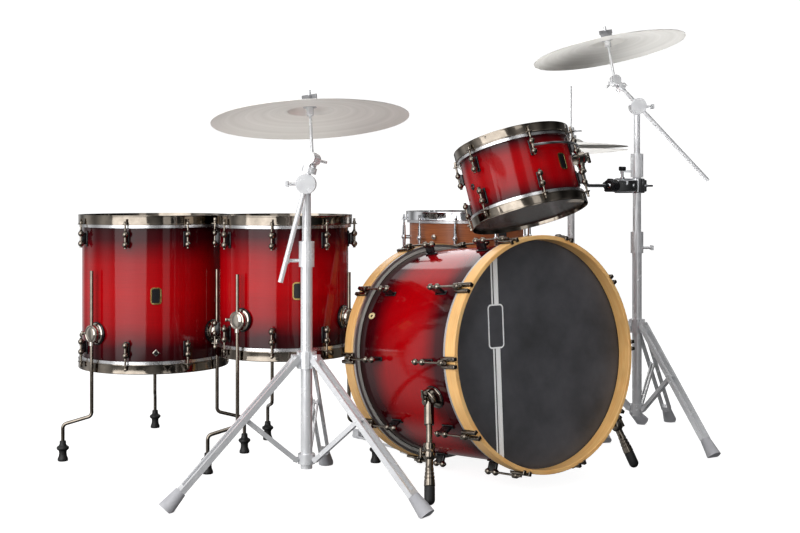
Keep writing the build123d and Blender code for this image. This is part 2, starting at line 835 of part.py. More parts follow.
# Bent arm with its ball, and the clamp on the right stand
arm_corner = post_middle + tom_axis * tom_arm_low
clamp_pole = at(stands["right"]["plan"], arm_corner.Z)
arm_line = (clamp_pole - arm_corner).normalized()
arm_ball = arm_corner + arm_line * tom_ball_at
with BuildPart() as tom_arm:
    with BuildLine():
        FilletPolyline(
            post_middle + tom_axis * tom_arm_top,
            arm_corner,
            arm_ball + arm_line * tom_arm_beyond,
            radius=tom_arm_bend,
        )
    with BuildSketch(Plane(post_middle + tom_axis * tom_arm_top, z_dir=-tom_axis)):
        Circle(tom_arm_rod)
    sweep()
    with Locations(arm_ball):
        Sphere(tom_ball)
keep("tom_arm", tom_arm.part)
clamp_side = arm_line.cross(UP)
middle_tube = stands["right"]["middle"]
with BuildPart() as tom_clamp:
    body_start = arm_ball + arm_line * clamp_socket
    body_long = (clamp_pole - body_start).length + clamp_back
    block(Plane(body_start, x_dir=clamp_side, z_dir=arm_line), (clamp_wide, clamp_high, body_long))
    socket_start = arm_ball - arm_line * (clamp_socket_long / 2)
    rod(socket_start, body_start, clamp_socket)
    with Locations(arm_ball):
        Sphere(tom_ball + clamp_ball_gap, mode=Mode.SUBTRACT)
    rod(socket_start - arm_line, body_start + arm_line * tom_arm_beyond, clamp_bore, mode=Mode.SUBTRACT)
    top = body_start + arm_line * clamp_wide + UP * (clamp_high / 2)
    rod(top, top + UP * clamp_screw_out, clamp_screw)
    block(Plane(top + UP * clamp_screw_out, x_dir=arm_line, z_dir=UP), clamp_wing)
    back = clamp_pole + arm_line * clamp_back
    rod(back, back + arm_line * clamp_screw_out, clamp_screw)
    block(Plane(back + arm_line * clamp_screw_out, x_dir=clamp_side, z_dir=arm_line), clamp_wing)
    pole_fit = middle_tube["radius"] + seat_gap
    rod(clamp_pole - UP * clamp_high, clamp_pole + UP * clamp_high, pole_fit, mode=Mode.SUBTRACT)
keep("tom_clamp", tom_clamp.part)

# Snare drum
keep("snare_shell", shell(snare_frame, snare_radius, snare_depth))
keep("snare_heads", *head_pair(snare_frame, snare_radius, snare_depth, *tom_head_cut))
snare_cut = (snare_lug_count, snare_turn, snare_standoff)
snare_hoops = [flanged_hoop(snare_frame, snare_radius, snare_depth, end, *snare_cut) for end in (1, -1)]
keep("snare_hoops", *snare_hoops)
with BuildPart() as snare_lug:
    Sphere(snare_ball)
    with Locations((0, 0, 0), Location((0, 0, 0), (180, 0, 0))):
        Cone(snare_tube, snare_tube_tip, snare_tube_half, align=LOW)
    rod((0, 0, 0), (seat_gap - snare_standoff, 0, 0), snare_post)
    rod((0, 0, -snare_tube_half), (0, 0, seat_gap - snare_rod_entry), lug_bore, mode=Mode.SUBTRACT)
    rod((0, 0, snare_rod_entry - seat_gap), (0, 0, snare_tube_half), lug_bore, mode=Mode.SUBTRACT)
snare_ring = snare_radius + snare_standoff
snare_places = stations(snare_frame, snare_lug_count, snare_turn, snare_ring, 0.0, ends=(1,))
snare_lugs = [snare_lug.part.moved(place) for place in snare_places]
snare_rod = tension_rod(snare_rod_entry, snare_depth / 2 + hoop_foot_top)
snare_rod_places = stations(snare_frame, snare_lug_count, snare_turn, snare_ring, 0.0)
keep("snare_tension", *snare_lugs, *[snare_rod.moved(place) for place in snare_rod_places])
strain_out = toward(strainer_heading)
strain_across = UP.cross(strain_out)
with BuildPart() as snare_wires:
    drop = snare_depth / 2 + film_gap + film + wires_gap + wires[2]
    block(Plane(snare_frame.origin - UP * drop, x_dir=strain_across, z_dir=UP), wires)
keep("snare_wires", snare_wires.part)
strain_seat = snare_frame.origin + strain_out * (snare_radius + seat_gap)
lever_axis = strain_seat + strain_out * strainer[1] + UP * lever_pivot_z
with BuildPart() as strainer_body:
    body_frame = Plane(strain_seat, x_dir=strain_across, z_dir=strain_out)
    block(body_frame, (strainer[0], strainer[2], strainer[1]))
    for cheek in (-1, 1):
        start = lever_axis + strain_across * (cheek * lever_slot / 2) - strain_out
        block(
            Plane(start + strain_across * (cheek * lever_slot / 4), x_dir=strain_across, z_dir=strain_out),
            (lever_slot / 2, 4 * lever_pin, 4 * lever_pin),
        )
    pin_middle = lever_axis + strain_out * (2 * lever_pin)
    rod(pin_middle - strain_across * lever_slot, pin_middle + strain_across * lever_slot, lever_pin)
with BuildPart() as butt_plate:
    butt_seat = snare_frame.origin - strain_out * (snare_radius + seat_gap)
    block(Plane(butt_seat, x_dir=strain_across, z_dir=-strain_out), (butt[0], butt[2], butt[1]))
keep("snare_strainer", strainer_body.part, butt_plate.part)
with BuildPart() as strainer_lever:
    lever_frame = Plane(pin_middle - UP * lever_pin, x_dir=strain_across, z_dir=UP)
    block(lever_frame, lever)
    knuckle_half = strain_across * (lever[0] / 2)
    rod(pin_middle - knuckle_half, pin_middle + knuckle_half, lever_knuckle)
    pin_start = pin_middle - strain_across * lever_slot
    rod(pin_start, pin_middle + strain_across * lever_slot, lever_pin + lever_fit, mode=Mode.SUBTRACT)
keep("strainer_lever", strainer_lever.part)


def stand_leg(plan, heading, hub_z, collar_z, reach):
    """One double-braced leg: bars with their pins, brace with its pin, and rubber foot."""
    out = toward(heading)
    across = UP.cross(out)
    top = at(plan, hub_z) + out * hub_pivot
    end = at(plan, rubber_end_z) + out * reach
    run = end - top
    line = run.normalized()
    bar_long = run.length - rubber_long
    knee = top + line * (run.length * knee_share)
    low = at(plan, collar_z) + out * collar_pivot
    half_pin = leg_bar_side + leg_bar[0] / 2
    with BuildPart() as leg:
        for side in (-1, 1):
            start = top + across * (side * leg_bar_side) - line * leg_bar[1] / 2
            block(Plane(start, x_dir=across, z_dir=line), (*leg_bar, bar_long + leg_bar[1] / 2))
        for pin in (top, knee):
            rod(pin - across * half_pin, pin + across * half_pin, leg_pin)
        tail = Plane(top + line * (bar_long - leg_bar[1]), x_dir=across, z_dir=line)
        block(tail, (2 * leg_bar_side, leg_bar[1], leg_bar[1]))
    brace_run = knee - low
    brace_line = brace_run.normalized()
    with BuildPart() as brace:
        for side in (-1, 1):
            start = low + across * (side * brace_side) - brace_line * brace_bar[1] / 2
            long = brace_run.length + brace_bar[1]
            block(Plane(start, x_dir=across, z_dir=brace_line), (*brace_bar, long))
        half_brace = across * (brace_side + brace_bar[0] / 2)
        rod(low - half_brace, low + half_brace, brace_pin)
        rod(knee - across * half_pin, knee + across * half_pin, leg_pin + pin_gap, mode=Mode.SUBTRACT)
    with BuildPart() as rubber:
        with Locations(Plane(top + line * (bar_long + seat_gap), z_dir=line).location):
            Cone(rubber_neck, rubber_wide, rubber_long, align=LOW)
        split(bisect_by=Plane.XY, keep=Keep.TOP)
    return leg.part, brace.part, rubber.part


def stand_base(plan, headings, hub_z, collar_z, reach, tube_radius, tube_top):
    """Lower tube, hub, collar, legs, braces and rubber feet of one stand."""
    axis = at(plan, 0)
    tube_low = collar_z - tube_foot_below
    tube = turned(
        Plane(axis, z_dir=UP),
        [
            (tube_radius - tube_wall, tube_low),
            (tube_radius, tube_low),
            (tube_radius, tube_top),
            (tube_radius - tube_wall, tube_top),
        ],
    )
    grip = tube_radius + seat_gap
    with BuildPart() as hub:
        rod(axis + UP * (hub_z - hub_half), axis + UP * (hub_z + hub_half), hub_radius)
        for heading in headings:
            out = toward(heading)
            across = UP.cross(out)
            ear = Plane(axis + UP * hub_z, x_dir=across, z_dir=out)
            block(ear, (ear_thick, 2 * leg_bar[1], hub_pivot + leg_bar[1] / 2))
        for heading in headings:
            out = toward(heading)
            across = UP.cross(out)
            pin = axis + UP * hub_z + out * hub_pivot
            rod(pin - across * hub_radius, pin + across * hub_radius, leg_pin + pin_gap, mode=Mode.SUBTRACT)
            for side in (-1, 1):
                lane = pin + across * (side * (leg_bar_side + pin_gap / 2)) - out * leg_bar[1]
                width = leg_bar[0] + pin_gap
                swing = 2 * leg_bar[1]
                cut = Plane(lane, x_dir=across, z_dir=out)
                block(cut, (width, 2 * hub_half + swing, 2 * swing), mode=Mode.SUBTRACT)
        rod(axis, axis + UP * tube_top, grip, mode=Mode.SUBTRACT)
    with BuildPart() as collar:
        rod(axis + UP * (collar_z - collar_half), axis + UP * (collar_z + collar_half), collar_radius)
        for heading in headings:
            out = toward(heading)
            ear = Plane(axis + UP * collar_z, x_dir=UP.cross(out), z_dir=out)
            block(ear, (collar_ear, brace_bar[1], collar_pivot + brace_bar[1] / 2))
        for heading in headings:
            out = toward(heading)
            across = UP.cross(out)
            pin = axis + UP * collar_z + out * collar_pivot
            hole = brace_pin + pin_gap
            rod(pin - across * collar_radius, pin + across * collar_radius, hole, mode=Mode.SUBTRACT)
            for side in (-1, 1):
                lane = pin + across * (side * (brace_side + pin_gap / 2)) - out * (brace_bar[1] / 2 + 1)
                width = brace_bar[0] + pin_gap
                cut = Plane(lane, x_dir=across, z_dir=out)
                block(cut, (width, 4 * collar_half, 4 * brace_bar[1]), mode=Mode.SUBTRACT)
        rod(axis, axis + UP * tube_top, grip, mode=Mode.SUBTRACT)
    solids = [tube, hub.part, collar.part]
    rubbers = []
    for heading in headings:
        leg, brace, rubber = stand_leg(plan, heading, hub_z, collar_z, reach)
        solids += [leg, brace]
        rubbers.append(rubber)
    return solids, rubbers


def height_sleeve(plan, low, high, seam, under, over, heading):
    """Clamp sleeve over a tube joint, with its wing screw."""
    axis = at(plan, 0)
    out = toward(heading)
    with BuildPart() as sleeve:
        rod(axis + UP * low, axis + UP * high, sleeve_radius)
        level = axis + UP * ((low + seam) / 2)
        end = level + out * (sleeve_radius + sleeve_screw_out)
        rod(level, end, sleeve_screw)
        block(Plane(end, x_dir=out, z_dir=UP), sleeve_wing, align=(Align.CENTER,) * 3)
        rod(axis + UP * (low - 1), axis + UP * (seam + seat_gap), under + seat_gap, mode=Mode.SUBTRACT)
        rod(axis + UP * low, axis + UP * (high + 1), over + slide_gap, mode=Mode.SUBTRACT)
    return sleeve.part


def cymbal(frame, radius, bow, bell):
    """Thin bronze disc with its bow and bell, rim at the frame's origin."""
    bell_radius = radius * bell_share
    top = bow + bell
    mid = (radius + bell_radius) / 2
    with BuildPart() as disc:
        with BuildSketch(side_of(frame)):
            with BuildLine():
                ThreePointArc((radius, 0), (mid, bow * bow_bulge), (bell_radius, bow))
                ThreePointArc(
                    (bell_radius, bow), (bell_radius * bell_bulge, bow + bell * bow_bulge), (cymbal_hole, top)
                )
                Line((cymbal_hole, top), (cymbal_hole, top + cymbal_thick))
                ThreePointArc(
                    (cymbal_hole, top + cymbal_thick),
                    (bell_radius * bell_bulge, bow + bell * bow_bulge + cymbal_thick),
                    (bell_radius, bow + cymbal_thick),
                )
                ThreePointArc(
                    (bell_radius, bow + cymbal_thick),
                    (mid, bow * bow_bulge + cymbal_thick),
                    (radius, cymbal_thick),
                )
                Line((radius, cymbal_thick), (radius, 0))
            make_face()
        revolve(axis=Axis(frame.origin, frame.z_dir))
    return disc.part


# Boom stands, their tilters and their cymbals
ratchet = toward(ratchet_heading)
stand_rubbers = []
for side, stand in stands.items():
    plan = stand["plan"]
    axis = at(plan, 0)
    middle = stand["middle"]
    base, rubbers = stand_base(
        plan,
        stand["legs"],
        stand["hub_z"],
        stand["collar_z"],
        stand["reach"],
        tube_low_radius,
        stand["low_top"],
    )
    stand_rubbers += rubbers
    upper = stand["upper_radius"]
    lower_inner = middle["radius"] if middle else upper
    low, high = stand["sleeve"]
    wing_heading = stand["boom_heading"] + 180
    sleeve = height_sleeve(plan, low, high, stand["low_top"], tube_low_radius, lower_inner, wing_heading)
    base.append(sleeve)
    if middle:
        bore = upper + slide_gap
        outline = [
            (bore, middle["low"]),
            (middle["radius"], middle["low"]),
            (middle["radius"], middle["top"]),
            (bore, middle["top"]),
        ]
        base.append(turned(Plane(axis, z_dir=UP), outline))
        low, high = middle["sleeve"]
        sizes = (low, high, middle["top"], middle["radius"], upper)
        base.append(height_sleeve(plan, *sizes, stand["boom_heading"]))
    keep(f"{side}_stand_base", *base)

    tilt = at(plan, stand["tilt_z"])
    lateral = toward(stand["boom_heading"])
    with BuildPart() as stand_tube:
        rod(axis + UP * stand["upper_low"], tilt, upper)
        rod(tilt - ratchet * tilter_back, tilt + ratchet * tilter_face, tilter_radius)
        rod(tilt, tilt + ratchet * tilter_pin_end, tilter_pin)
        grip_start = tilt - ratchet * (tilter_back / 2)
        grip_end = grip_start - lateral * (tilter_radius + wing_out)
        rod(grip_start, grip_end, wing_shaft)
        block(Plane(grip_end, x_dir=lateral, z_dir=UP), wing_size, align=(Align.CENTER,) * 3)
        face = Plane(tilt + ratchet * tilter_face, x_dir=lateral, z_dir=ratchet)
        block(face, (2 * tilter_radius + 2, 2 * tilter_radius + 2, tilter_front), mode=Mode.SUBTRACT)
        rod(tilt + ratchet * tilter_face, tilt + ratchet * tilter_pin_end, tilter_pin)
    keep(f"{side}_stand_tube", stand_tube.part)

    lean = math.radians(stand["boom_lean"])
    boom_line = lateral * math.sin(lean) + UP * math.cos(lean)
    boom_middle = tilt + ratchet * boom_out
    cymbal_up = Vector(*stand["cymbal_axis"]).normalized()
    bolt = boom_line.cross(cymbal_up).normalized() * stand["handle"]
    hinge = boom_middle + boom_line * stand["boom_front"]
    with BuildPart() as boom:
        rod(tilt + ratchet * (tilter_face + tilter_gap), tilt + ratchet * tilter_front, tilter_radius)
        rod(boom_middle - boom_line * stand["boom_tail"], hinge - boom_line * clevis_base, boom_radius)
        foot = hinge - boom_line * clevis_foot
        rod(foot, hinge - boom_line * clevis_base, clevis_out)
        for cheek in (-1, 1):
            cheek_in = hinge + bolt * (cheek * (clevis_in + tilter_gap))
            rod(cheek_in, hinge + bolt * (cheek * clevis_out), clevis_radius)
            arm_middle = cheek * (clevis_in + tilter_gap + clevis_out) / 2
            arm_start = hinge + bolt * arm_middle
            thick = clevis_out - clevis_in - tilter_gap
            arm_frame = Plane(arm_start - boom_line * clevis_foot, x_dir=bolt, z_dir=boom_line)
            block(arm_frame, (thick, 2 * boom_radius, clevis_foot))
        rod(hinge - bolt * clevis_out, hinge + bolt * (clevis_out + handle_out), tilter_pin)
        grip = hinge + bolt * (clevis_out + handle_out)
        grip_line = bolt.cross(boom_line).normalized()
        rod(grip - grip_line * (handle_bar / 2), grip + grip_line * (handle_bar / 2), handle_radius)
        pin_hole = tilter_pin + tilter_fit
        rod(tilt, tilt + ratchet * (tilter_pin_end + tilter_gap), pin_hole, mode=Mode.SUBTRACT)
    keep(f"{side}_boom_arm", boom.part)

    rim = hinge + cymbal_up * stand["cymbal_rise"]
    bell_top = cymbal_bow + bell_high
    seat = rim + cymbal_up * (bell_top - felt_gap - felt_high)
    stud_top = rim + cymbal_up * (bell_top + stud_above)
    with BuildPart() as tilter:
        rod(hinge - bolt * clevis_in, hinge + bolt * clevis_in, stud_disc)
        rod(hinge, seat - cymbal_up * bolt_gap, stud_radius)
        rod(seat - cymbal_up * stud_shoulder_below, seat - cymbal_up * bolt_gap, stud_shoulder)
        rod(seat, stud_top, stud_radius)
        rod(seat - cymbal_up, seat, stud_radius)
        rod(hinge - bolt * clevis_out, hinge + bolt * clevis_out, tilter_pin + tilter_fit, mode=Mode.SUBTRACT)
    keep(f"{side}_cymbal_tilter", tilter.part)

    frame = Plane(rim, x_dir=bolt, z_dir=cymbal_up)
    keep(f"{side}_cymbal", cymbal(frame, stand["cymbal_radius"], cymbal_bow, bell_high))
    grip = stud_radius + seat_gap
    felt_low = bell_top - felt_gap - felt_high
    felt_top = bell_top + cymbal_thick + felt_gap
    lower_felt = turned(
        frame,
        [
            (grip, felt_low),
            (felt_radius, felt_low),
            (felt_radius / 2, bell_top - felt_gap),
            (sleeve_in_hole, bell_top - felt_gap),
            (sleeve_in_hole, felt_top - seat_gap),
            (grip, felt_top - seat_gap),
        ],
    )
    upper_felt = turned(
        frame,
        [
            (grip, felt_top),
            (felt_radius, felt_top),
            (felt_radius, felt_top + felt_high),
            (grip, felt_top + felt_high),
        ],
    )
    with BuildPart() as wing_nut:
        nut_low = rim + cymbal_up * (felt_top + felt_high + seat_gap)
        rod(nut_low, nut_low + cymbal_up * nut_high, nut_radius)
        block(Plane(nut_low, x_dir=bolt, z_dir=cymbal_up), nut_wing)
        rod(rim, stud_top, grip, mode=Mode.SUBTRACT)
    keep(f"{side}_cymbal_felts", lower_felt, upper_felt, wing_nut.part)
    stand["points"] = {
        "axis": axis,
        "tilt": tilt,
        "ratchet": ratchet,
        "hinge": hinge,
        "bolt": bolt,
        "rim": rim,
        "up": cymbal_up,
        "boom_line": boom_line,
        "tail": boom_middle - boom_line * stand["boom_tail"],
    }

# Snare stand and basket
snare_base, rubbers = stand_base(
    snare_plan,
    snare_leg_headings,
    snare_hub_z,
    snare_collar_z,
    snare_leg_reach,
    tube_low_radius,
    snare_tube_top,
)
stand_rubbers += rubbers
snare_sleeve = height_sleeve(
    snare_plan,
    snare_tube_top - sleeve_radius,
    snare_tube_top + sleeve_radius,
    snare_tube_top,
    tube_low_radius,
    basket_stem,
    snare_leg_headings[1],
)
snare_axis = at(snare_plan, 0)
keep("snare_stand", *snare_base, snare_sleeve)
with BuildPart() as basket:
    rod(snare_axis + UP * basket_low_z, snare_axis + UP * basket_arm_z, basket_stem)
    hub_low = snare_axis + UP * (basket_arm_z - basket_hub_half)
    rod(hub_low, hub_low + UP * (2 * basket_hub_half), basket_hub)
basket_arms = [basket.part]
basket_pads = []
for heading in basket_headings:
    out = toward(heading)
    start = snare_axis + out * (basket_hub + seat_gap) + UP * basket_arm_z
    corner = snare_axis + out * basket_reach + UP * basket_arm_z
    with BuildPart() as arm:
        with BuildLine():
            FilletPolyline(start, corner, corner + UP * (basket_hook_z - basket_arm_z), radius=basket_bend)
        with BuildSketch(Plane(start, z_dir=out)):
            Circle(basket_arm)
        sweep()
    basket_arms.append(arm.part)
    with BuildPart() as grip:
        grip_low = corner + UP * (basket_hook_z - basket_arm_z - pad_grip_long)
        rod(grip_low, corner + UP * (basket_hook_z - basket_arm_z + basket_arm), pad_grip)
        fit = basket_arm + seat_gap
        rod(grip_low, corner + UP * (basket_hook_z - basket_arm_z + seat_gap), fit, mode=Mode.SUBTRACT)
    with BuildPart() as seat_pad:
        pad_low = snare_axis + out * pad_seat_in + UP * (basket_arm_z + basket_arm + seat_gap)
        pad_high = snare_rim_z - seat_gap - pad_low.Z
        block(Plane(pad_low, x_dir=out, z_dir=UP), (*pad_seat, pad_high))
    basket_pads += [grip.part, seat_pad.part]
keep("snare_basket", *basket_arms, *basket_pads)


def foot_plates(heel, ahead, toe_reach):
    """Heel plate with ears and the two rails that tie it to the frame in front."""
    across = UP.cross(ahead)
    with BuildPart() as plate:
        block(Plane(heel, x_dir=across, z_dir=UP), (board_width, heel_long, plate_thick))
        for side in (-1, 1):
            ear = heel + across * (side * (board_width / 2 + heel_ear / 2))
            block(Plane(ear, x_dir=across, z_dir=UP), (heel_ear, heel_long / 2, heel_high + 2 * heel_pin))
        pin = heel + UP * heel_high
        wide = board_width / 2 + heel_ear
        rod(pin - across * wide, pin + across * wide, heel_pin)
        for side in (-1, 1):
            rail = heel + across * (side * rail_side) + UP * (rail_radius + plate_thick / 2)
            rod(rail, rail + ahead * toe_reach, rail_radius)
    return plate.part


def foot_board(heel, ahead, long):
    """Foot board hinged on the heel pin and rising to its toe."""
    across = UP.cross(ahead)
    pin = heel + UP * heel_high
    toe = heel + ahead * long + UP * board_toe_high
    line = (toe - pin).normalized()
    with BuildPart() as board:
        board_size = (board_width - 2 * board_play, board_thick, (toe - pin).length)
        block(Plane(pin, x_dir=across, z_dir=line), board_size)
        knuckle = across * (board_width / 2 - board_play)
        rod(pin - knuckle, pin + knuckle, 2 * heel_pin)
        wide = board_width
        rod(pin - across * wide, pin + across * wide, heel_pin + heel_fit, mode=Mode.SUBTRACT)
    return board.part


# Hi-hat
hat_plan = (bass_hoop_radius + hat_beside, bass_back + hat_behind)
hat_axis = at(hat_plan, 0)
hat_back = toward(180.0)
hat_base, rubbers = stand_base(
    hat_plan,
    hat_leg_headings,
    hat_hub_z,
    hat_collar_z,
    hat_leg_reach,
    tube_low_radius,
    hat_tube_top,
)
stand_rubbers += rubbers
hat_high_rim_z = hat_low_rim_z + hat_gap
hat_seat_z = hat_low_rim_z - hat_bow - hat_bell_high - cymbal_thick - felt_gap
hat_tube = turned(
    Plane(hat_axis, z_dir=UP),
    [
        (hat_upper_bore, hat_hub_z),
        (hat_upper_radius, hat_hub_z),
        (hat_upper_radius, hat_seat_z - 2 * hat_seat_high),
        (hat_seat, hat_seat_z - hat_seat_high),
        (hat_seat, hat_seat_z - hat_seat_high / 2),
        (hat_seat / 2, hat_seat_z),
        (hat_upper_bore, hat_seat_z),
    ],
)
hat_sleeve = height_sleeve(
    hat_plan,
    hat_tube_top - sleeve_radius,
    hat_tube_top + sleeve_radius,
    hat_tube_top,
    tube_low_radius,
    hat_upper_radius,
    hat_leg_headings[1],
)
hat_heel_point = hat_axis + hat_back * hat_heel
hat_case_top = hat_collar_z - tube_foot_below - seat_gap
with BuildPart() as hat_case_part:
    case_frame = Plane(hat_axis + UP * hat_case_low, x_dir=(1, 0, 0), z_dir=UP)
    block(case_frame, (*hat_case, hat_case_top - hat_case_low))
    window = Plane(hat_axis + UP * (hat_case_low + plate_thick), x_dir=(1, 0, 0), z_dir=UP)
    window_high = hat_case_top - hat_case_low - 3 * plate_thick
    block(window, (hat_case_window[0], hat_case_window[1], window_high), mode=Mode.SUBTRACT)
    for side in (-1, 1):
        shoe = hat_axis + Vector(side * rail_side, 0, 0)
        shoe_size = (hat_case[1] + 2 * hat_case_low, hat_case[1], 2 * hat_case_low + plate_thick)
        block(Plane(shoe, x_dir=(1, 0, 0), z_dir=UP), shoe_size)
    rod(hat_axis, hat_axis + UP * hat_tube_top, hat_rod + slide_gap, mode=Mode.SUBTRACT)
hat_plate = foot_plates(hat_heel_point, -hat_back, hat_heel - hat_case[1] / 2 - seat_gap)
keep("hihat_stand", *hat_base, hat_tube, hat_sleeve, hat_case_part.part, hat_plate)
hat_rim_low = Plane(at(hat_plan, hat_low_rim_z), x_dir=(1, 0, 0), z_dir=-UP)
hat_rim_high = Plane(at(hat_plan, hat_high_rim_z), x_dir=(1, 0, 0), z_dir=UP)
keep("hihat_bottom_cymbal", cymbal(hat_rim_low, hat_radius, hat_bow, hat_bell_high))
keep("hihat_top_cymbal", cymbal(hat_rim_high, hat_radius, hat_bow, hat_bell_high))
hat_bell_z = hat_high_rim_z + hat_bow + hat_bell_high
with BuildPart() as hat_rod_part:
    rod(hat_axis + UP * hat_rod_low, hat_axis + UP * hat_rod_top, hat_rod)
    clutch_low = hat_bell_z + cymbal_thick + seat_gap
    rod(hat_axis + UP * clutch_low, hat_axis + UP * (clutch_low + hat_clutch_high), hat_clutch)
    rod(hat_axis + UP * clutch_low, hat_axis + UP * (clutch_low + felt_high), felt_radius)
    rod(hat_axis + UP * (hat_bell_z - felt_high), hat_axis + UP * (hat_bell_z - seat_gap), hat_clutch)
    rod(hat_axis + UP * (hat_bell_z - felt_high), hat_axis + UP * clutch_low, sleeve_in_hole)
    screw = hat_axis + UP * (clutch_low + hat_clutch_high * 2 / 3)
    screw_end = screw + Vector(hat_clutch + wing_out / 2, 0, 0)
    rod(screw, screw_end, wing_shaft)
    block(Plane(screw_end, x_dir=(1, 0, 0), z_dir=UP), nut_wing[::-1], align=(Align.CENTER,) * 3)
keep("hihat_pull_rod", hat_rod_part.part)
keep("hihat_footboard", foot_board(hat_heel_point, -hat_back, hat_heel - hat_case[1]))
keep("stand_feet", *stand_rubbers)

# Bass drum pedal
pedal_axis = at((0.0, bass_back + pedal_behind), 0)
pedal_back = toward(180.0)
pedal_heel = pedal_axis + pedal_back * pedal_reach
axle = pedal_axis + UP * pedal_axle_z
with BuildPart() as pedal_frame:
    wide = 2 * pedal_post_side + pedal_post[0]
    block(Plane(pedal_axis, x_dir=(1, 0, 0), z_dir=UP), (wide, 2 * pedal_post[1], plate_thick))
    for side in (-1, 1):
        post = pedal_axis + Vector(side * pedal_post_side, 0, 0)
        block(Plane(post, x_dir=(1, 0, 0), z_dir=UP), (*pedal_post, pedal_axle_z + pedal_post[1]))
    rim_down = (UP - bass_axis * bass_axis.dot(UP)).normalized() * (wood_hoop_wall / 2 - bass_hoop_radius)
    rim_foot = bass_frame.origin - bass_axis * (bass_depth / 2 + wood_hoop_rim) + rim_down
    jaw = Vector(pedal_axis.X, rim_foot.Y + jaw_gap, 0)
    ahead_of = (Align.CENTER, Align.MIN, Align.MIN)
    tongue = pedal_axis.Y - jaw.Y
    block(Plane(jaw, x_dir=(1, 0, 0), z_dir=UP), (jaw_width, tongue, jaw_rise), align=ahead_of)
    hook = jaw - pedal_back * jaw_bite + UP * jaw_rise
    block(Plane(hook, x_dir=(1, 0, 0), z_dir=UP), (jaw_width, jaw_bite + tongue, jaw_thick), align=ahead_of)
    axle_hole = pedal_axle + pedal_axle_fit
    axle_half = Vector(pedal_post_side + pedal_post[0], 0, 0)
    rod(axle - axle_half, axle + axle_half, axle_hole, mode=Mode.SUBTRACT)
pedal_plate = foot_plates(pedal_heel, -pedal_back, pedal_reach - pedal_post[1] - seat_gap)
keep("pedal_frame", pedal_frame.part, pedal_plate)
keep("pedal_footboard", foot_board(pedal_heel, -pedal_back, pedal_reach - 2 * pedal_cam))
beater_turn = math.radians(beater_rest)
beater_line = pedal_back * math.sin(beater_turn) + UP * math.cos(beater_turn)
beater_face = beater_line.cross(Vector(1, 0, 0))
with BuildPart() as pedal_beater:
    half = Vector(pedal_post_side + pedal_post[0] / 2 + 1, 0, 0)
    rod(axle - half, axle + half, pedal_axle)
    rod(axle - Vector(pedal_cam_half, 0, 0), axle + Vector(pedal_cam_half, 0, 0), pedal_cam)
    tip = axle + beater_line * beater_long
    rod(axle, tip, beater_rod)
    rod(tip - beater_face * beater_head_half, tip + beater_face * beater_head_half, beater_radius)
keep("pedal_beater", pedal_beater.part)
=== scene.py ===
import json
import math
from collections import namedtuple

import bmesh
import bpy
from mathutils import Matrix, Vector


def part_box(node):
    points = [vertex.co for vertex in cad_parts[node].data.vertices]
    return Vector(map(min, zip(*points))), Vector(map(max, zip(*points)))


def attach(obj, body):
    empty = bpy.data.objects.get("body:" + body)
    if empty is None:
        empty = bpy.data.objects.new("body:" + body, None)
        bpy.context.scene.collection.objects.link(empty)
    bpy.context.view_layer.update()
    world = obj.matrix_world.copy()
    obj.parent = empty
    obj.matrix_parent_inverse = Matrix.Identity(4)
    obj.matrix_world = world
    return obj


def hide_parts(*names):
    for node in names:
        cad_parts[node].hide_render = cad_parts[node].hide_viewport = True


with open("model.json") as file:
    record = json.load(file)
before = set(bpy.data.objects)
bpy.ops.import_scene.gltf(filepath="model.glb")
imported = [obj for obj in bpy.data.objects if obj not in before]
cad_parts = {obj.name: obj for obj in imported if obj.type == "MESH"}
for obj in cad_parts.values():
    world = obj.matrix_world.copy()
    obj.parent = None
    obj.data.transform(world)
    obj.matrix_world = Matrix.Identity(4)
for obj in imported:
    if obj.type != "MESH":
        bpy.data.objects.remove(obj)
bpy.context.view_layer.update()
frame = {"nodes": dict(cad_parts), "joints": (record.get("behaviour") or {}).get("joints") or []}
nodes = frame["nodes"]
joints = {joint["name"]: joint for joint in frame["joints"]}

MM = 0.001
INCH = 25.4 * MM
UP = Vector((0, 0, 1))
FRONT = Vector((0, -1, 0))
BASS_RISE = math.radians(4.796)
BASS_AXIS = Vector((0, -math.cos(BASS_RISE), math.sin(BASS_RISE)))

# A drum's middle, its axis toward the batter or front head, two ways across it, half its depth, its radius
Drum = namedtuple("Drum", "middle axis side away half radius")
Disc = namedtuple("Disc", "middle axis")


def middle_of(name):
    """Middle of a CAD node's box."""
    low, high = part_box(name)
    return (low + high) / 2


def drum_at(name, across, depth, axis=UP, side=None):
    """A drum in the place of its shell node, from its size in inches."""
    axis = Vector(axis).normalized()
    side = side or (FRONT - axis * axis.dot(FRONT)).normalized()
    return Drum(middle_of(name), axis, side, axis.cross(side), depth * INCH / 2, across * INCH / 2)


BASS = drum_at("bass_shell", 22, 16, BASS_AXIS, Vector((1, 0, 0)))
FLOOR_16 = drum_at("floor_tom_16_shell", 16, 16.4)
FLOOR_14 = drum_at("floor_tom_14_shell", 14, 14.4)
TOM = drum_at("rack_tom_shell", 12, 8, joints["tom_swivel"]["axis"])
SNARE = drum_at("snare_shell", 14, 5.5)


def disc_at(joint):
    """A cymbal in the place of the joint that it spins on."""
    return Disc(Vector(joint["pos_m"]), Vector(joint["axis"]))


DISCS = {
    "left_cymbal": disc_at(joints["left_cymbal_spin"]),
    "right_cymbal": disc_at(joints["right_cymbal_spin"]),
    "hihat_top_cymbal": Disc(middle_of("hihat_top_cymbal"), UP),
    "hihat_bottom_cymbal": Disc(middle_of("hihat_bottom_cymbal"), UP),
}


# Finishes
def linear(code):
    """Linear RGBA of an sRGB hex colour."""
    parts = [int(code[i:i + 2], 16) / 255 for i in (1, 3, 5)]
    return tuple(c / 12.92 if c <= 0.04045 else ((c + 0.055) / 1.055) ** 2.4 for c in parts) + (1.0,)


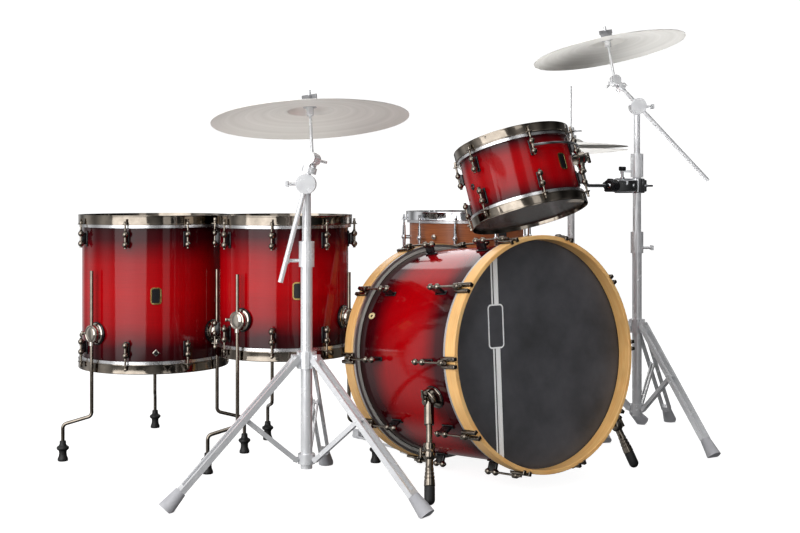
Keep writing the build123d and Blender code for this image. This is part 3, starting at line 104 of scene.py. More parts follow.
def node(tree, kind, inputs=(), output=0, stops=(), **settings):
    """Add one shader node with its settings and links, and give the output that the next one reads."""
    item = tree.nodes.new("ShaderNode" + kind)
    for key, value in settings.items():
        setattr(item, key, value)
    for count, (position, tone) in enumerate(stops):
        elements = item.color_ramp.elements
        element = elements[count] if count < len(elements) else elements.new(1.0)
        element.position = position
        element.color = linear(tone) if isinstance(tone, str) else (tone, tone, tone, 1.0)
    for socket, value in inputs.items() if isinstance(inputs, dict) else enumerate(inputs):
        if isinstance(value, bpy.types.NodeSocket):
            tree.links.new(value, item.inputs[socket])
        elif value is not None:
            item.inputs[socket].default_value = value
    return item.outputs[output]


def surface(name, **sockets):
    """A new material's node tree, its shader and the Object coordinates that its patterns read."""
    material = bpy.data.materials.new(name)
    material.use_nodes = True
    shader = material.node_tree.nodes["Principled BSDF"]
    for socket, value in sockets.items():
        shader.inputs[socket.replace("_", " ")].default_value = value
    return material, material.node_tree, shader, node(material.node_tree, "TexCoord", output="Object")


def finish(tree, shader, **sockets):
    """Link the patterns to the shader's sockets."""
    for socket, value in sockets.items():
        tree.links.new(value, shader.inputs[socket.replace("_", " ")])


def depth_in(tree, place, drum):
    """How far a point is along a drum's axis from its middle, in metres."""
    relative = node(tree, "VectorMath", (place, drum.middle), operation="SUBTRACT")
    return node(tree, "VectorMath", (relative, drum.axis), "Value", operation="DOT_PRODUCT")


def reach_in(tree, place, drum):
    """How far a point is from a drum's axis, in metres."""
    relative = node(tree, "VectorMath", (place, drum.middle), operation="SUBTRACT")
    across = node(tree, "VectorMath", (relative, drum.axis), operation="CROSS_PRODUCT")
    return node(tree, "VectorMath", (across,), "Value", operation="LENGTH")


def grain_in(tree, place, drum, along, across):
    """A point counted in pattern lengths, in millimetres, along and across a drum's axis."""
    relative = node(tree, "VectorMath", (place, drum.middle), operation="SUBTRACT")
    parts = []
    for way, length in ((drum.side, across), (drum.away, across), (drum.axis, along)):
        stretched = way / (length * MM)
        parts.append(node(tree, "VectorMath", (relative, stretched), "Value", operation="DOT_PRODUCT"))
    return node(tree, "CombineXYZ", parts)


def per(size):
    """Noise scale whose blotches are a size in millimetres."""
    return 1 / (size * MM)


def lacquer(name, drum, stops):
    """Clear lacquer over red stained maple: a deep wet gloss, dark cherry toward both ends of the shell."""
    material, tree, shader, place = surface(
        name, Roughness=0.42, Specular_IOR_Level=0.0, Coat_Weight=1.0, Coat_Roughness=0.09, Coat_IOR=1.33)
    depth = node(tree, "Math", (depth_in(tree, place, drum), 1 / drum.half), operation="MULTIPLY")
    share = node(tree, "Math", (depth,), operation="ABSOLUTE")
    cloud = node(tree, "TexNoise", {"Vector": place, "Scale": per(110), "Detail": 2.0})
    sway = node(tree, "MapRange", (cloud, 0.0, 1.0, -0.05, 0.05))
    stain = node(tree, "ValToRGB", (node(tree, "Math", (share, sway), operation="ADD"),), stops=stops)
    # Maple fibre runs round the shell and is about 0.3 mm wide, drawn at 2 mm so that it shows
    grain = grain_in(tree, place, drum, *LACQUER_FIBRE)
    fibre = node(tree, "TexNoise", {"Vector": grain, "Scale": 1.0, "Detail": 4.0})
    lines = node(tree, "ValToRGB", (fibre,), stops=((0.32, 0.90), (0.62, 1.0)))
    grained = node(tree, "Mix", {0: 1.0, 6: stain, 7: lines}, 2, data_type="RGBA", blend_type="MULTIPLY")
    finish(tree, shader, Base_Color=grained)
    return material


def timber(name, drum, pale, dark, gloss, coat):
    """Oiled or varnished wood bent round a drum: fine fibre, slow changes of tone and a soft sheen."""
    material, tree, shader, place = surface(name, Coat_Weight=coat, Coat_Roughness=0.16)
    # Fibre about 0.4 mm wide, drawn at 1.8 mm so that it shows
    grain = grain_in(tree, place, drum, *TIMBER_FIBRE)
    fibre = node(tree, "TexNoise", {"Vector": grain, "Scale": 1.0, "Detail": 6.0})
    tone = node(tree, "ValToRGB", (fibre,), stops=((0.30, dark), (0.66, pale)))
    cloud = node(tree, "TexNoise", {"Vector": place, "Scale": per(70), "Detail": 2.0})
    shade = node(tree, "ValToRGB", (cloud,), stops=((0.3, 0.84), (0.7, 1.0)))
    colour = node(tree, "Mix", {0: 1.0, 6: tone, 7: shade}, 2, data_type="RGBA", blend_type="MULTIPLY")
    rough = node(tree, "MapRange", (fibre, 0.3, 0.7, gloss + 0.08, gloss))
    relief = node(tree, "Bump", {"Height": fibre, "Distance": 0.12 * MM, "Strength": 0.3})
    finish(tree, shader, Base_Color=colour, Roughness=rough, Normal=relief)
    return material


def plating(name, pale, dark, gloss, dull, smudge, metallic=1.0):
    """Plated steel or castings: a mirror whose gloss and tone change in faint smudges."""
    material, tree, shader, place = surface(name, Metallic=metallic)
    haze = node(tree, "TexNoise", {"Vector": place, "Scale": per(smudge), "Detail": 4.0})
    tone = node(tree, "ValToRGB", (haze,), stops=((0.3, dark), (0.7, pale)))
    rough = node(tree, "MapRange", (haze, 0.3, 0.7, gloss, dull))
    finish(tree, shader, Base_Color=tone, Roughness=rough)
    return material


def moulding(name, pale, dark, gloss, grit, relief, sheen=0.0):
    """Moulded rubber, pressed felt or painted film: fine grit in the gloss over slow changes of tone."""
    material, tree, shader, place = surface(name, Sheen_Weight=sheen)
    fine = node(tree, "TexNoise", {"Vector": place, "Scale": per(grit), "Detail": 3.0})
    broad = node(tree, "TexNoise", {"Vector": place, "Scale": per(45), "Detail": 3.0})
    tone = node(tree, "ValToRGB", (broad,), stops=((0.3, dark), (0.7, pale)))
    rough = node(tree, "MapRange", (fine, 0.3, 0.7, gloss - 0.06, gloss + 0.06))
    bumps = node(tree, "Bump", {"Height": fine, "Distance": relief * MM})
    finish(tree, shader, Base_Color=tone, Roughness=rough, Normal=bumps)
    return material


def lathed_bronze(name, disc):
    """Cymbal bronze turned on a lathe: fine grooves that spread the light, in bands of pale gold grey."""
    material, tree, shader, place = surface(name, Metallic=0.40)
    reach = node(tree, "CombineXYZ", (reach_in(tree, place, disc),))
    # Grooves about 0.8 mm apart, drawn at 2 mm so that they show
    grooves = node(tree, "TexNoise", {"Vector": reach, "Scale": per(2.0), "Detail": 2.0})
    bands = node(tree, "TexNoise", {"Vector": reach, "Scale": per(18), "Detail": 3.0})
    tone = node(tree, "ValToRGB", (bands,), stops=((0.3, "#DEDCD7"), (0.7, "#EFEDE9")))
    rough = node(tree, "MapRange", (grooves, 0.3, 0.7, 0.34, 0.48))
    relief = node(tree, "Bump", {"Height": grooves, "Distance": 0.14 * MM, "Strength": 0.5})
    finish(tree, shader, Base_Color=tone, Roughness=rough, Normal=relief)
    return material


def polyester(name, drums, batter, far, gloss, coat, ring_start):
    """Polyester drum film: smooth and slightly milky, in the aluminium ring that it is crimped into."""
    material, tree, shader, place = surface(name, Coat_Weight=coat, Coat_Roughness=0.08)
    side = node(tree, "Math", (depth_in(tree, place, drums[0]), 0.0), operation="GREATER_THAN")
    cloud = node(tree, "TexNoise", {"Vector": place, "Scale": per(60), "Detail": 3.0})
    tone = node(tree, "Mix", {0: side, 6: linear(far), 7: linear(batter)}, 2, data_type="RGBA")
    shade = node(tree, "ValToRGB", (cloud,), stops=((0.3, 0.88), (0.7, 1.0)))
    milky = node(tree, "Mix", {0: 1.0, 6: tone, 7: shade}, 2, data_type="RGBA", blend_type="MULTIPLY")
    ring = None
    for drum in drums:
        reach = reach_in(tree, place, drum)
        outside = node(tree, "Math", (reach, drum.radius + ring_start), operation="GREATER_THAN")
        ring = node(tree, "Math", (ring, outside), operation="MULTIPLY") if ring else outside
    fine = node(tree, "TexNoise", {"Vector": place, "Scale": per(1.4), "Detail": 3.0})
    rough = node(tree, "MapRange", (fine, 0.3, 0.7, gloss - 0.04, gloss + 0.06))
    relief = node(tree, "Bump", {"Height": fine, "Distance": 0.04 * MM})
    colour = node(tree, "Mix", {0: ring, 6: milky, 7: linear("#DADADC")}, 2, data_type="RGBA")
    finish(tree, shader, Base_Color=colour, Metallic=ring, Roughness=rough, Normal=relief)
    return material


def striped_film(name):
    """Satin black front film with a thin and a broad white stripe through a bare outlined plaque."""
    material, tree, shader, place = surface(name, Coat_Weight=0.08, Coat_Roughness=0.4)
    relative = node(tree, "VectorMath", (place, BASS.middle), operation="SUBTRACT")
    height = node(tree, "VectorMath", (relative, UP), "Value", operation="DOT_PRODUCT")
    leaning = BASS.side - UP * STRIPE_LEAN
    across = node(tree, "VectorMath", (relative, leaning), "Value", operation="DOT_PRODUCT")
    inked = None
    for low, high in STRIPES:
        past = node(tree, "Math", (across, low), operation="GREATER_THAN")
        before = node(tree, "Math", (across, high), operation="LESS_THAN")
        band = node(tree, "Math", (past, before), operation="MULTIPLY")
        inked = node(tree, "Math", (inked, band), operation="MAXIMUM") if inked else band
    overs = []
    for value, centre, half in ((across, PLAQUE[0], PLAQUE[2]), (height, PLAQUE[1], PLAQUE[3])):
        off = node(tree, "Math", (value, centre), operation="SUBTRACT")
        off = node(tree, "Math", (off,), operation="ABSOLUTE")
        over = node(tree, "Math", (off, half - PLAQUE_ROUND), operation="SUBTRACT")
        overs.append(node(tree, "Math", (over, 0.0), operation="MAXIMUM"))
    edge = node(tree, "VectorMath", (node(tree, "CombineXYZ", overs),), "Value", operation="LENGTH")
    plaque = node(tree, "Math", (edge, PLAQUE_ROUND), operation="LESS_THAN")
    outer = node(tree, "Math", (edge, PLAQUE_ROUND - PLAQUE_LINE), operation="GREATER_THAN")
    marked = node(tree, "Math", (inked, plaque), operation="MAXIMUM")
    white = node(tree, "Math", (marked, outer), operation="MULTIPLY")
    cloud = node(tree, "TexNoise", {"Vector": place, "Scale": per(130), "Detail": 5.0, "Roughness": 0.62})
    film = node(tree, "ValToRGB", (cloud,), stops=((0.32, "#39393C"), (0.70, "#525257")))
    print_on = node(tree, "Mix", {0: white, 6: film, 7: linear("#FFFFFF")}, 2, data_type="RGBA")
    reach = reach_in(tree, place, BASS)
    ring = node(tree, "Math", (reach, BASS.radius + BASS_RING_START), operation="GREATER_THAN")
    colour = node(tree, "Mix", {0: ring, 6: print_on, 7: linear("#DADADC")}, 2, data_type="RGBA")
    fine = node(tree, "TexNoise", {"Vector": place, "Scale": per(1.3), "Detail": 2.0})
    rough = node(tree, "MapRange", (fine, 0.3, 0.7, 0.42, 0.56))
    relief = node(tree, "Bump", {"Height": fine, "Distance": 0.04 * MM})
    finish(tree, shader, Base_Color=colour, Metallic=ring, Roughness=rough, Normal=relief)
    return material


# Fibre width and length in millimetres
LACQUER_FIBRE = (2.0, 60.0)
TIMBER_FIBRE = (1.8, 70.0)
# Where a head's aluminium ring starts, past the radius of the shell
RING_START = 1.2 * MM
BASS_RING_START = 9.0 * MM
# Stripes from one edge to the other, and the plaque's middle and half sizes, across the head in metres
STRIPE_LEAN = 0.0241
STRIPES = ((-0.1493, -0.1446), (-0.1408, -0.1265))
PLAQUE = (-0.1375, 0.0936, 0.0250, 0.0545)
PLAQUE_ROUND = 11 * MM
PLAQUE_LINE = 3.8 * MM
# Stain from the middle of a shell to its ends
LONG_BURST = ((0.0, "#B2020A"), (0.38, "#A2030C"), (0.68, "#42050D"), (1.0, "#0D0303"))
WIDE_BURST = ((0.0, "#B2020A"), (0.38, "#A2030C"), (0.72, "#42050D"), (1.0, "#100304"))

nickel = plating("black_nickel_plating", "#948B80", "#7A7268", 0.06, 0.12, 24)
bright = plating("bright_nickel_plating", "#C6BEB3", "#B2AAA0", 0.05, 0.11, 24)
chrome = plating("satin_chrome_plating", "#ECEDEF", "#E3E4E7", 0.18, 0.30, 30, 0.35)
mirror = plating("bright_chrome_plating", "#E4E5E8", "#D2D3D7", 0.05, 0.10, 30)
casting = plating("polished_zinc_casting", "#E6E7EA", "#D6D7DB", 0.24, 0.36, 26, 0.30)
steel = plating("spring_steel", "#C2C3C5", "#9FA0A2", 0.25, 0.40, 5)
gold = plating("gold_plated_brass", "#D9C184", "#B99A54", 0.16, 0.28, 9)
enamel = moulding("black_enamel", "#161518", "#0D0D0F", 0.22, 2.0, 0.01)
rubber = moulding("black_rubber", "#1C1C1D", "#121213", 0.52, 1.1, 0.06)
pale_rubber = moulding("grey_rubber", "#B8B8BC", "#A8A8AD", 0.60, 1.1, 0.06)
cream = moulding("cream_acetate", "#E9D9A8", "#D8C48C", 0.30, 2.0, 0.01)
felt = moulding("pressed_wool_felt", "#9A9A9C", "#7C7C7E", 0.94, 0.7, 0.30, 0.6)
tom_film = polyester("tom_polyester", [TOM], "#DAD8D2", "#655E56", 0.22, 0.25, RING_START)
snare_film = polyester("snare_polyester", [SNARE], "#ECEAE4", "#C9C6BD", 0.42, 0.1, RING_START)
batter_film = polyester("batter_polyester", [BASS], "#D9D7D0", "#CFCDC6", 0.40, 0.1, BASS_RING_START)
floor_film = polyester(
    "floor_tom_polyester", [FLOOR_16, FLOOR_14], "#D4D2CB", "#6E6963", 0.24, 0.4, RING_START)
walnut = timber("oiled_snare_wood", SNARE, "#C2723F", "#9A5029", 0.40, 0.25)
maple = timber("varnished_maple", BASS, "#FFD18B", "#F5B569", 0.34, 0.25)

FINISH = {
    "bass_shell": lacquer("bass_lacquer", BASS, LONG_BURST),
    "floor_tom_16_shell": lacquer("floor_tom_16_lacquer", FLOOR_16, WIDE_BURST),
    "floor_tom_14_shell": lacquer("floor_tom_14_lacquer", FLOOR_14, WIDE_BURST),
    "rack_tom_shell": lacquer("rack_tom_lacquer", TOM, WIDE_BURST),
    "bass_hoops": maple,
    "snare_shell": walnut,
    "bass_front_head": striped_film("front_polyester"),
    "bass_batter_head": batter_film,
    "rack_tom_heads": tom_film,
    "snare_heads": snare_film,
    "floor_tom_heads": floor_film,
    "snare_wires": steel,
    "stand_feet": pale_rubber,
    "left_cymbal_felts": felt,
    "right_cymbal_felts": felt,
    "hihat_footboard": casting,
    "pedal_footboard": casting,
    "pedal_frame": casting,
    "tom_arm": mirror,
    "snare_tension": mirror,
    "snare_strainer": mirror,
    "strainer_lever": mirror,
    "floor_tom_16_legs": nickel,
    "floor_tom_14_legs": nickel,
    "left_spur_leg": nickel,
    "right_spur_leg": nickel,
    "left_spur_foot": nickel,
    "right_spur_foot": nickel,
}
for name, disc in DISCS.items():
    FINISH[name] = lathed_bronze(name + "_bronze", disc)
for name, item in nodes.items():
    item.data.materials.clear()
    item.data.materials.append(FINISH.get(name, chrome))


# Shaping
def placed(origin, x_way, z_way):
    """Matrix from millimetres to a place whose X and Z point along two directions."""
    z = Vector(z_way).normalized()
    y = z.cross(Vector(x_way)).normalized()
    turn = Matrix((y.cross(z), y, z)).transposed().to_4x4()
    return Matrix.Translation(origin) @ turn @ Matrix.Scale(MM, 4)


def out_of(drum, angle):
    """Direction away from a drum's axis at an angle in degrees."""
    spin = math.radians(angle)
    return drum.side * math.cos(spin) + drum.away * math.sin(spin)


def stations(drum, count, turn, standoff, drop, ends=(1, -1)):
    """Places round a drum, X away from the shell and Z toward the nearer head."""
    places = []
    for end in ends:
        for step in range(count):
            out = out_of(drum, turn + step * 360 / count)
            rise = drum.axis * end
            origin = drum.middle + out * (drum.radius + standoff * MM) + rise * (drum.half - drop * MM)
            places.append(placed(origin, out, rise))
    return places


def eased(outline, radius):
    """An outline in millimetres with each corner rounded."""
    points = [Vector(point) for point in outline]
    rounded = []
    for before, corner, after in zip(points[-1:] + points[:-1], points, points[1:] + points[:1]):
        start = corner + (before - corner).normalized() * radius
        end = corner + (after - corner).normalized() * radius
        rounded += [start, (start + 2 * corner + end) / 4, end]
    return rounded


def turned(outline, steps=32, closed=False, arc=math.tau):
    """Solid turned about Z from radii and heights in millimetres."""
    part = bmesh.new()
    points = [part.verts.new((radius, 0, height)) for radius, height in outline]
    edges = [part.edges.new(pair) for pair in zip(points, points[1:])]
    if closed:
        edges.append(part.edges.new((points[-1], points[0])))
    whole = arc == math.tau
    bmesh.ops.spin(
        part, geom=points + edges, cent=(0, 0, 0), axis=(0, 0, 1), angle=arc, steps=steps, use_merge=whole)
    bmesh.ops.remove_doubles(part, verts=part.verts, dist=1e-4)
    if not whole:
        bmesh.ops.holes_fill(part, edges=part.edges)
    bmesh.ops.recalc_face_normals(part, faces=part.faces)
    return part


def block(size, radius, at=(0, 0, 0), segments=3):
    """Block with rounded edges about a point, in millimetres."""
    part = bmesh.new()
    bmesh.ops.create_cube(part, size=1.0)
    bmesh.ops.scale(part, vec=size, verts=part.verts)
    bmesh.ops.translate(part, vec=at, verts=part.verts)
    bmesh.ops.bevel(
        part, geom=part.edges[:], offset=radius, segments=segments, affect="EDGES", profile=0.5, material=-1)
    return part


def laid(part, way, at=(0, 0, 0)):
    """A part turned so that its Z points another way, then moved."""
    spin = UP.rotation_difference(Vector(way)).to_matrix()
    bmesh.ops.rotate(part, cent=(0, 0, 0), matrix=spin, verts=part.verts)
    bmesh.ops.translate(part, vec=at, verts=part.verts)
    return part


def add(piece, part, places, tone=0):
    """Put a part into a piece at each place, in one of the piece's finishes."""
    for face in part.faces:
        face.material_index = tone
    mesh = bpy.data.meshes.new("part")
    part.to_mesh(mesh)
    part.free()
    for place in places:
        known = len(piece.verts)
        piece.from_mesh(mesh)
        piece.verts.ensure_lookup_table()
        bmesh.ops.transform(piece, matrix=place, verts=piece.verts[known:])
    bpy.data.meshes.remove(mesh)


CREASE = math.radians(38)
# A part laid this way has its Z along the X of its place
ALONG = Vector((1, 0, 0))


def show(name, piece, body, finishes, hides=()):
    """Make a finished piece an object that rides on a body."""
    mesh = bpy.data.meshes.new(name)
    piece.to_mesh(mesh)
    piece.free()
    for tone in finishes:
        mesh.materials.append(tone)
    mesh.shade_smooth()
    mesh.set_sharp_from_angle(angle=CREASE)
    item = bpy.data.objects.new(name, mesh)
    bpy.context.collection.objects.link(item)
    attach(item, body)
    if hides:
        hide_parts(*hides)


# Lugs: two beads on a neck, over a black pedestal
BEAD = 8.6
BEAD_SPREAD = 14.0
NECK = 3.6
LUG_TIP = 4.4
LUG_END = 25.0
LUG_EASE = 0.8
LUG_PAD = (4.0, 12.0, 44.0)
LUG_POST = (8.0, 33.0)
BEAD_STEPS = 10
FLOOR_COUNT, BASS_COUNT, TOM_COUNT, SNARE_COUNT = 8, 10, 6, 10
FLOOR_TURNS = {"16": 0.0, "14": 5.0}
TOM_TURN = -23.7
SNARE_TURN = -13.0
TOM_STANDOFF, BASS_STANDOFF = 18.0, 28.6
TOM_DROP, BASS_DROP = 56.6, 94.0
FLOORS = {"16": FLOOR_16, "14": FLOOR_14}

floor_places = []
for size, drum in FLOORS.items():
    floor_places += stations(drum, FLOOR_COUNT, FLOOR_TURNS[size], TOM_STANDOFF, TOM_DROP)
tom_places = stations(TOM, TOM_COUNT, TOM_TURN, TOM_STANDOFF, TOM_DROP)
bass_places = stations(BASS, BASS_COUNT, 0.0, BASS_STANDOFF, BASS_DROP)


def bead_outline():
    """Half outline of a lug: tip, bead, neck, bead, tip."""
    outline = [(0, -LUG_END), (LUG_TIP - LUG_EASE, -LUG_END), (LUG_TIP, LUG_EASE - LUG_END)]
    for middle in (-BEAD_SPREAD, BEAD_SPREAD):
        for step in range(1, BEAD_STEPS):
            angle = math.pi * step / BEAD_STEPS
            outline.append((max(NECK, BEAD * math.sin(angle)), middle - BEAD * math.cos(angle)))
    return outline + [(LUG_TIP, LUG_END - LUG_EASE), (LUG_TIP - LUG_EASE, LUG_END), (0, LUG_END)]


def lugs(name, body, places, standoff):
    """All the lugs of one node."""
    piece = bmesh.new()
    add(piece, turned(bead_outline(), 20), places)
    add(piece, block(LUG_PAD, 1.9, (LUG_PAD[0] / 2 - standoff, 0, 0)), places, 1)
    rise = standoff - LUG_PAD[0]
    add(piece, block((rise, *LUG_POST), 2.8, (-rise / 2, 0, 0)), places, 1)
    show(name + "_beads", piece, body, (nickel, enamel), (name,))


lugs("floor_tom_lugs", "kit", floor_places, TOM_STANDOFF)
lugs("bass_lugs", "kit", bass_places, BASS_STANDOFF)
lugs("rack_tom_lugs", "rack_tom", tom_places, TOM_STANDOFF)

# Key rods: thread, washer, collar and square key
ROD = 2.9
ROD_START = 8.0
HOOP_FOOT_TOP = -14.6
CLAW_RIM = BASS_DROP + 36.0
CLAW_LOW = CLAW_RIM - 48.0
CLAW_SEAT = CLAW_LOW + 16.0
# Radii and heights of the washer, collar and shoulder above a rod's seat
ROD_HEAD = ((5.6, 0), (6, 0.5), (5.6, 1.4), (4.6, 1.4), (4.6, 5.6), (3.8, 6.4), (0, 6.4))
KEY = (6.0, 6.0, 8.0)
KEY_RISE = 10.4


def key_rods(piece, places, seat):
    """Key rods from their lugs to their seats."""
    outline = [(0, ROD_START), (ROD, ROD_START), (ROD, seat)]
    outline += [(radius, seat + height) for radius, height in ROD_HEAD]
    add(piece, turned(outline, 16), places)
    add(piece, block(KEY, 0.7, (0, 0, seat + KEY_RISE), 2), places)


rods = bmesh.new()
key_rods(rods, floor_places, TOM_DROP + HOOP_FOOT_TOP)
key_rods(rods, bass_places, CLAW_SEAT)
show("tension_key_rods", rods, "kit", (nickel,), ("tension_rods",))
rods = bmesh.new()
key_rods(rods, tom_places, TOM_DROP + HOOP_FOOT_TOP)
show("rack_tom_key_rods", rods, "rack_tom", (nickel,), ("rack_tom_rods",))

# Flanged hoops: rolled rim, flat band and a foot flange with an ear at every rod
HOOP_OUTLINE = ((3.0, -16.9), (11.0, -16.9), (11.0, -14.4), (10.6, -13.4), (10.6, 5.6), (11.0, 7.0),
                (11.0, 9.5), (8.4, 9.5), (8.4, HOOP_FOOT_TOP), (3.0, HOOP_FOOT_TOP))
HOOP_EASE = 0.55
HOOP_STEPS = 144
EAR = (16.5, 21.0, 2.3)
EAR_MIDDLE = 17.75
EAR_DROP = 15.75
EAR_TAPER = 0.62


def ear():
    """Ear of a hoop, narrower toward its end."""
    part = block(EAR, 0.8, (EAR_MIDDLE, 0, 0), 2)
    ends = [vert for vert in part.verts if vert.co.x > EAR_MIDDLE]
    bmesh.ops.scale(part, vec=(1, EAR_TAPER, 1), verts=ends)
    return part


def hoops(name, body, tone, drums):
    """Both hoops of each drum, for one node."""
    piece = bmesh.new()
    for drum, count, turn in drums:
        radius, half = drum.radius / MM, drum.half / MM
        for end in (1, -1):
            outline = [(radius + reach, half + height) for reach, height in HOOP_OUTLINE]
            ring = turned(eased(outline, HOOP_EASE), HOOP_STEPS, True)
            add(piece, ring, [placed(drum.middle, drum.side, drum.axis * end)])
        add(piece, ear(), stations(drum, count, turn, 0.0, EAR_DROP))
    show(name + "_rolled", piece, body, (tone,), (name,))


hoops("floor_tom_hoops", "kit", nickel,
      [(drum, FLOOR_COUNT, FLOOR_TURNS[size]) for size, drum in FLOORS.items()])
hoops("rack_tom_hoops", "rack_tom", nickel, [(TOM, TOM_COUNT, TOM_TURN)])
hoops("snare_hoops", "kit", mirror, [(SNARE, SNARE_COUNT, SNARE_TURN)])

# Claws: two rounded prongs hooked over the maple hoop, on a bridge with the rod's eye
CLAW_FACE = -9.6
PRONG = (6.8, 9.6)
PRONG_HIGH = 52.9
PRONG_SIDE = 9.0
HOOK = 12.0
HOOK_THICK = 4.5
CLAW_PAD = 1.0
CLAW_BRIDGE = (5.6, 26.0, 14.0)
CLAW_EYE = ((3.0, 0), (6.4, 0), (7.5, 1.2), (7.5, 14), (6.4, 16), (3.0, 16))
claws = bmesh.new()
for side in (-PRONG_SIDE, PRONG_SIDE):
    prong_middle = (CLAW_FACE + PRONG[0] / 2, side, CLAW_LOW + PRONG_HIGH / 2)
    add(claws, block((PRONG[0], PRONG[1], PRONG_HIGH), 2.8, prong_middle), bass_places)
    hook_middle = (CLAW_FACE + PRONG[0] - HOOK / 2, side, CLAW_RIM + 2.65)
    add(claws, block((HOOK, PRONG[1], HOOK_THICK), 2.0, hook_middle), bass_places)
    pad_middle = (CLAW_FACE + CLAW_PAD / 2, side, CLAW_LOW + PRONG_HIGH / 2 - 2)
    add(claws, block((CLAW_PAD, PRONG[1] + 2.4, PRONG_HIGH - 5), 0.45, pad_middle, 1), bass_places, 1)
bridge_middle = (CLAW_FACE + CLAW_BRIDGE[0] / 2, 0, CLAW_LOW + CLAW_BRIDGE[2] / 2)
add(claws, block(CLAW_BRIDGE, 2.4, bridge_middle), bass_places)
add(claws, block((9, 9, 15), 2.4, (-5, 0, CLAW_LOW + 8)), bass_places)
eye = [(radius, CLAW_LOW + height) for radius, height in CLAW_EYE]
add(claws, turned(eye, 20, True), bass_places)
show("bass_hoop_claws", claws, "kit", (nickel, rubber), ("bass_claws",))

# Floor tom leg brackets and feet
LEG_TURNS = (-74.0, 27.0, 155.0)
LEG_SWINGS = (-45.0, 45.0, 0.0)
LEG_SIDES = (1, -1, 1)
LEG_STANDOFF = 20.0
LEG_OFFSET = 78.0 * MM
BRACKET_RISE = 107.2 * MM
HOOP_RIM = 9.5 * MM
GASKET_OUTLINE = ((0, 0), (31.4, 0), (32, 1), (32, 4.4), (30.4, 6), (0, 6))
BRACKET_OUTLINE = ((0, 5), (28.4, 5), (28.9, 6), (28.9, 7.6), (27.4, 9), (22.6, 10), (21.4, 12), (21.8, 14),
                   (24.6, 15.4), (25, 17), (25, 22), (24, 24.4), (21.6, 25.2), (20.6, 24.4), (19.4, 24.4),
                   (18.4, 25.6), (15, 27), (8, 27.9), (0, 28))
FOOT_OUTLINE = ((0, 0), (13.2, 0), (14, 1), (14.2, 6), (13.4, 8), (11, 14), (10.2, 22), (11, 28), (15.6, 32),
                (16.8, 34), (16.9, 37), (15.6, 39.4), (11, 42), (9, 46), (8.6, 54.2), (7.8, 55), (5.2, 55),
                (5.2, 17.8), (0, 17.8))
LEG_SCREW = ((0, 20), (5.4, 20), (5.4, 26), (4, 27), (4, 32), (0, 32))
LEG_WING = (10.0, 5.0, 18.0)
LEG_WING_OUT = 34.0
LEG_COLLAR = ((5.4, -33), (7.6, -33), (8.4, -32), (8.4, -22), (5.4, -22))
brackets = bmesh.new()
for size, drum in FLOORS.items():
    feet = bmesh.new()
    ground = Vector((drum.middle.x, drum.middle.y, 0))
    mount_z = drum.middle.z - drum.half - HOOP_RIM + BRACKET_RISE
    for leg_turn, swing, screw_side in zip(LEG_TURNS, LEG_SWINGS, LEG_SIDES):
        heading = leg_turn + FLOOR_TURNS[size]
        out = out_of(drum, heading)
        mount = placed(ground + out * drum.radius + UP * mount_z, UP, out)
        add(brackets, turned(GASKET_OUTLINE, 48), [mount], 1)
        add(brackets, turned(BRACKET_OUTLINE, 48), [mount])
        aside = Vector((0, screw_side, 0))
        add(brackets, laid(turned(LEG_SCREW, 20), aside, (0, 0, LEG_STANDOFF)), [mount])
        add(brackets, block(LEG_WING, 2.3, (0, LEG_WING_OUT * screw_side, LEG_STANDOFF)), [mount])
        add(brackets, laid(turned(LEG_COLLAR, 24, True), ALONG, (0, 0, LEG_STANDOFF)), [mount])
        line = ground + out * (drum.radius + LEG_STANDOFF * MM)
        foot = line + out_of(drum, heading + swing) * LEG_OFFSET
        add(feet, turned(FOOT_OUTLINE, 40), [placed(foot, FRONT, UP)])
    name = f"floor_tom_{size}_feet"
    show(name + "_moulded", feet, f"floor_tom_{size}_leg_set", (rubber,), (name,))
show("floor_tom_leg_brackets", brackets, "kit", (bright, enamel), ("floor_tom_brackets",))

# Bass spurs: coned tip with a rubber ball, and a cast plate, housing, pin and lever on a gasket
SPUR_SEAT = 19.2 * MM
SPUR_BALL = 13.0
SPUR_TIP = 242.0
SPUR_HALF_FOLD = math.radians(30)
SPUR_OUTLINE = ((0, 196), (7.9, 195), (7.9, 108), (13.6, 108), (14.5, 109), (14.5, 119), (13.2, 121),
                (13.2, 125), (14.5, 127), (14.5, 142), (12, 146), (9.4, 148), (9.4, 165), (10.2, 167),
                (10.6, 173), (9.6, 174), (9.6, 175.5), (11.2, 176.5), (11.6, 182), (10.6, 183), (10.6, 184.5),
                (12.2, 185.5), (12.6, 191), (11.6, 192), (11.6, 193.5), (12.8, 194.5), (13.6, 210),
                (12.8, 211), (0, 211))
SPUR_SCREW = ((0, 13), (5, 13), (5, 20), (3.6, 21), (3.6, 26), (0, 26))
SPUR_SCREW_AT = 134.0
SPUR_WING = (5.0, 9.0, 25.0)
SPUR_WING_OUT = 25.0
SPUR_GASKET = ((0, 0), (32, 0), (33, 0.8), (33, 2), (32, 2.8), (0, 2.8))
SPUR_PLATE = ((0, 2), (30.6, 2), (31, 3), (31, 4.6), (29, 6.4), (24, 7.2), (20, 9), (0, 9))
SPUR_BOLT = ((0, 6), (4.6, 6), (4.6, 8), (3.2, 9), (0, 9))
SPUR_BOLT_OUT = 24.5
SPUR_PIN = ((0, 8), (4.4, 8), (4.4, 32), (8, 32), (9, 33), (9, 35.4), (6.4, 37.4), (0, 38))
SPUR_LEVER = (30.0, 8.0, 5.0)
SPUR_LEVER_AT = (20.0, 0.0, 35.4)
HOUSING_OUTLINE = eased([(17, 5), (29, 5), (26, 24), (17, 27)], 2.0)
HOUSING_ARC = math.radians(170)
BALL_STEPS = 8
ball_outline = [(0, 211.3), (12.2, 211.3), (SPUR_BALL, 213)]
for step in range(BALL_STEPS + 1):
    curve = math.pi / 2 * step / BALL_STEPS
    ball_outline.append((SPUR_BALL * math.cos(curve), SPUR_TIP + SPUR_BALL * math.sin(curve)))
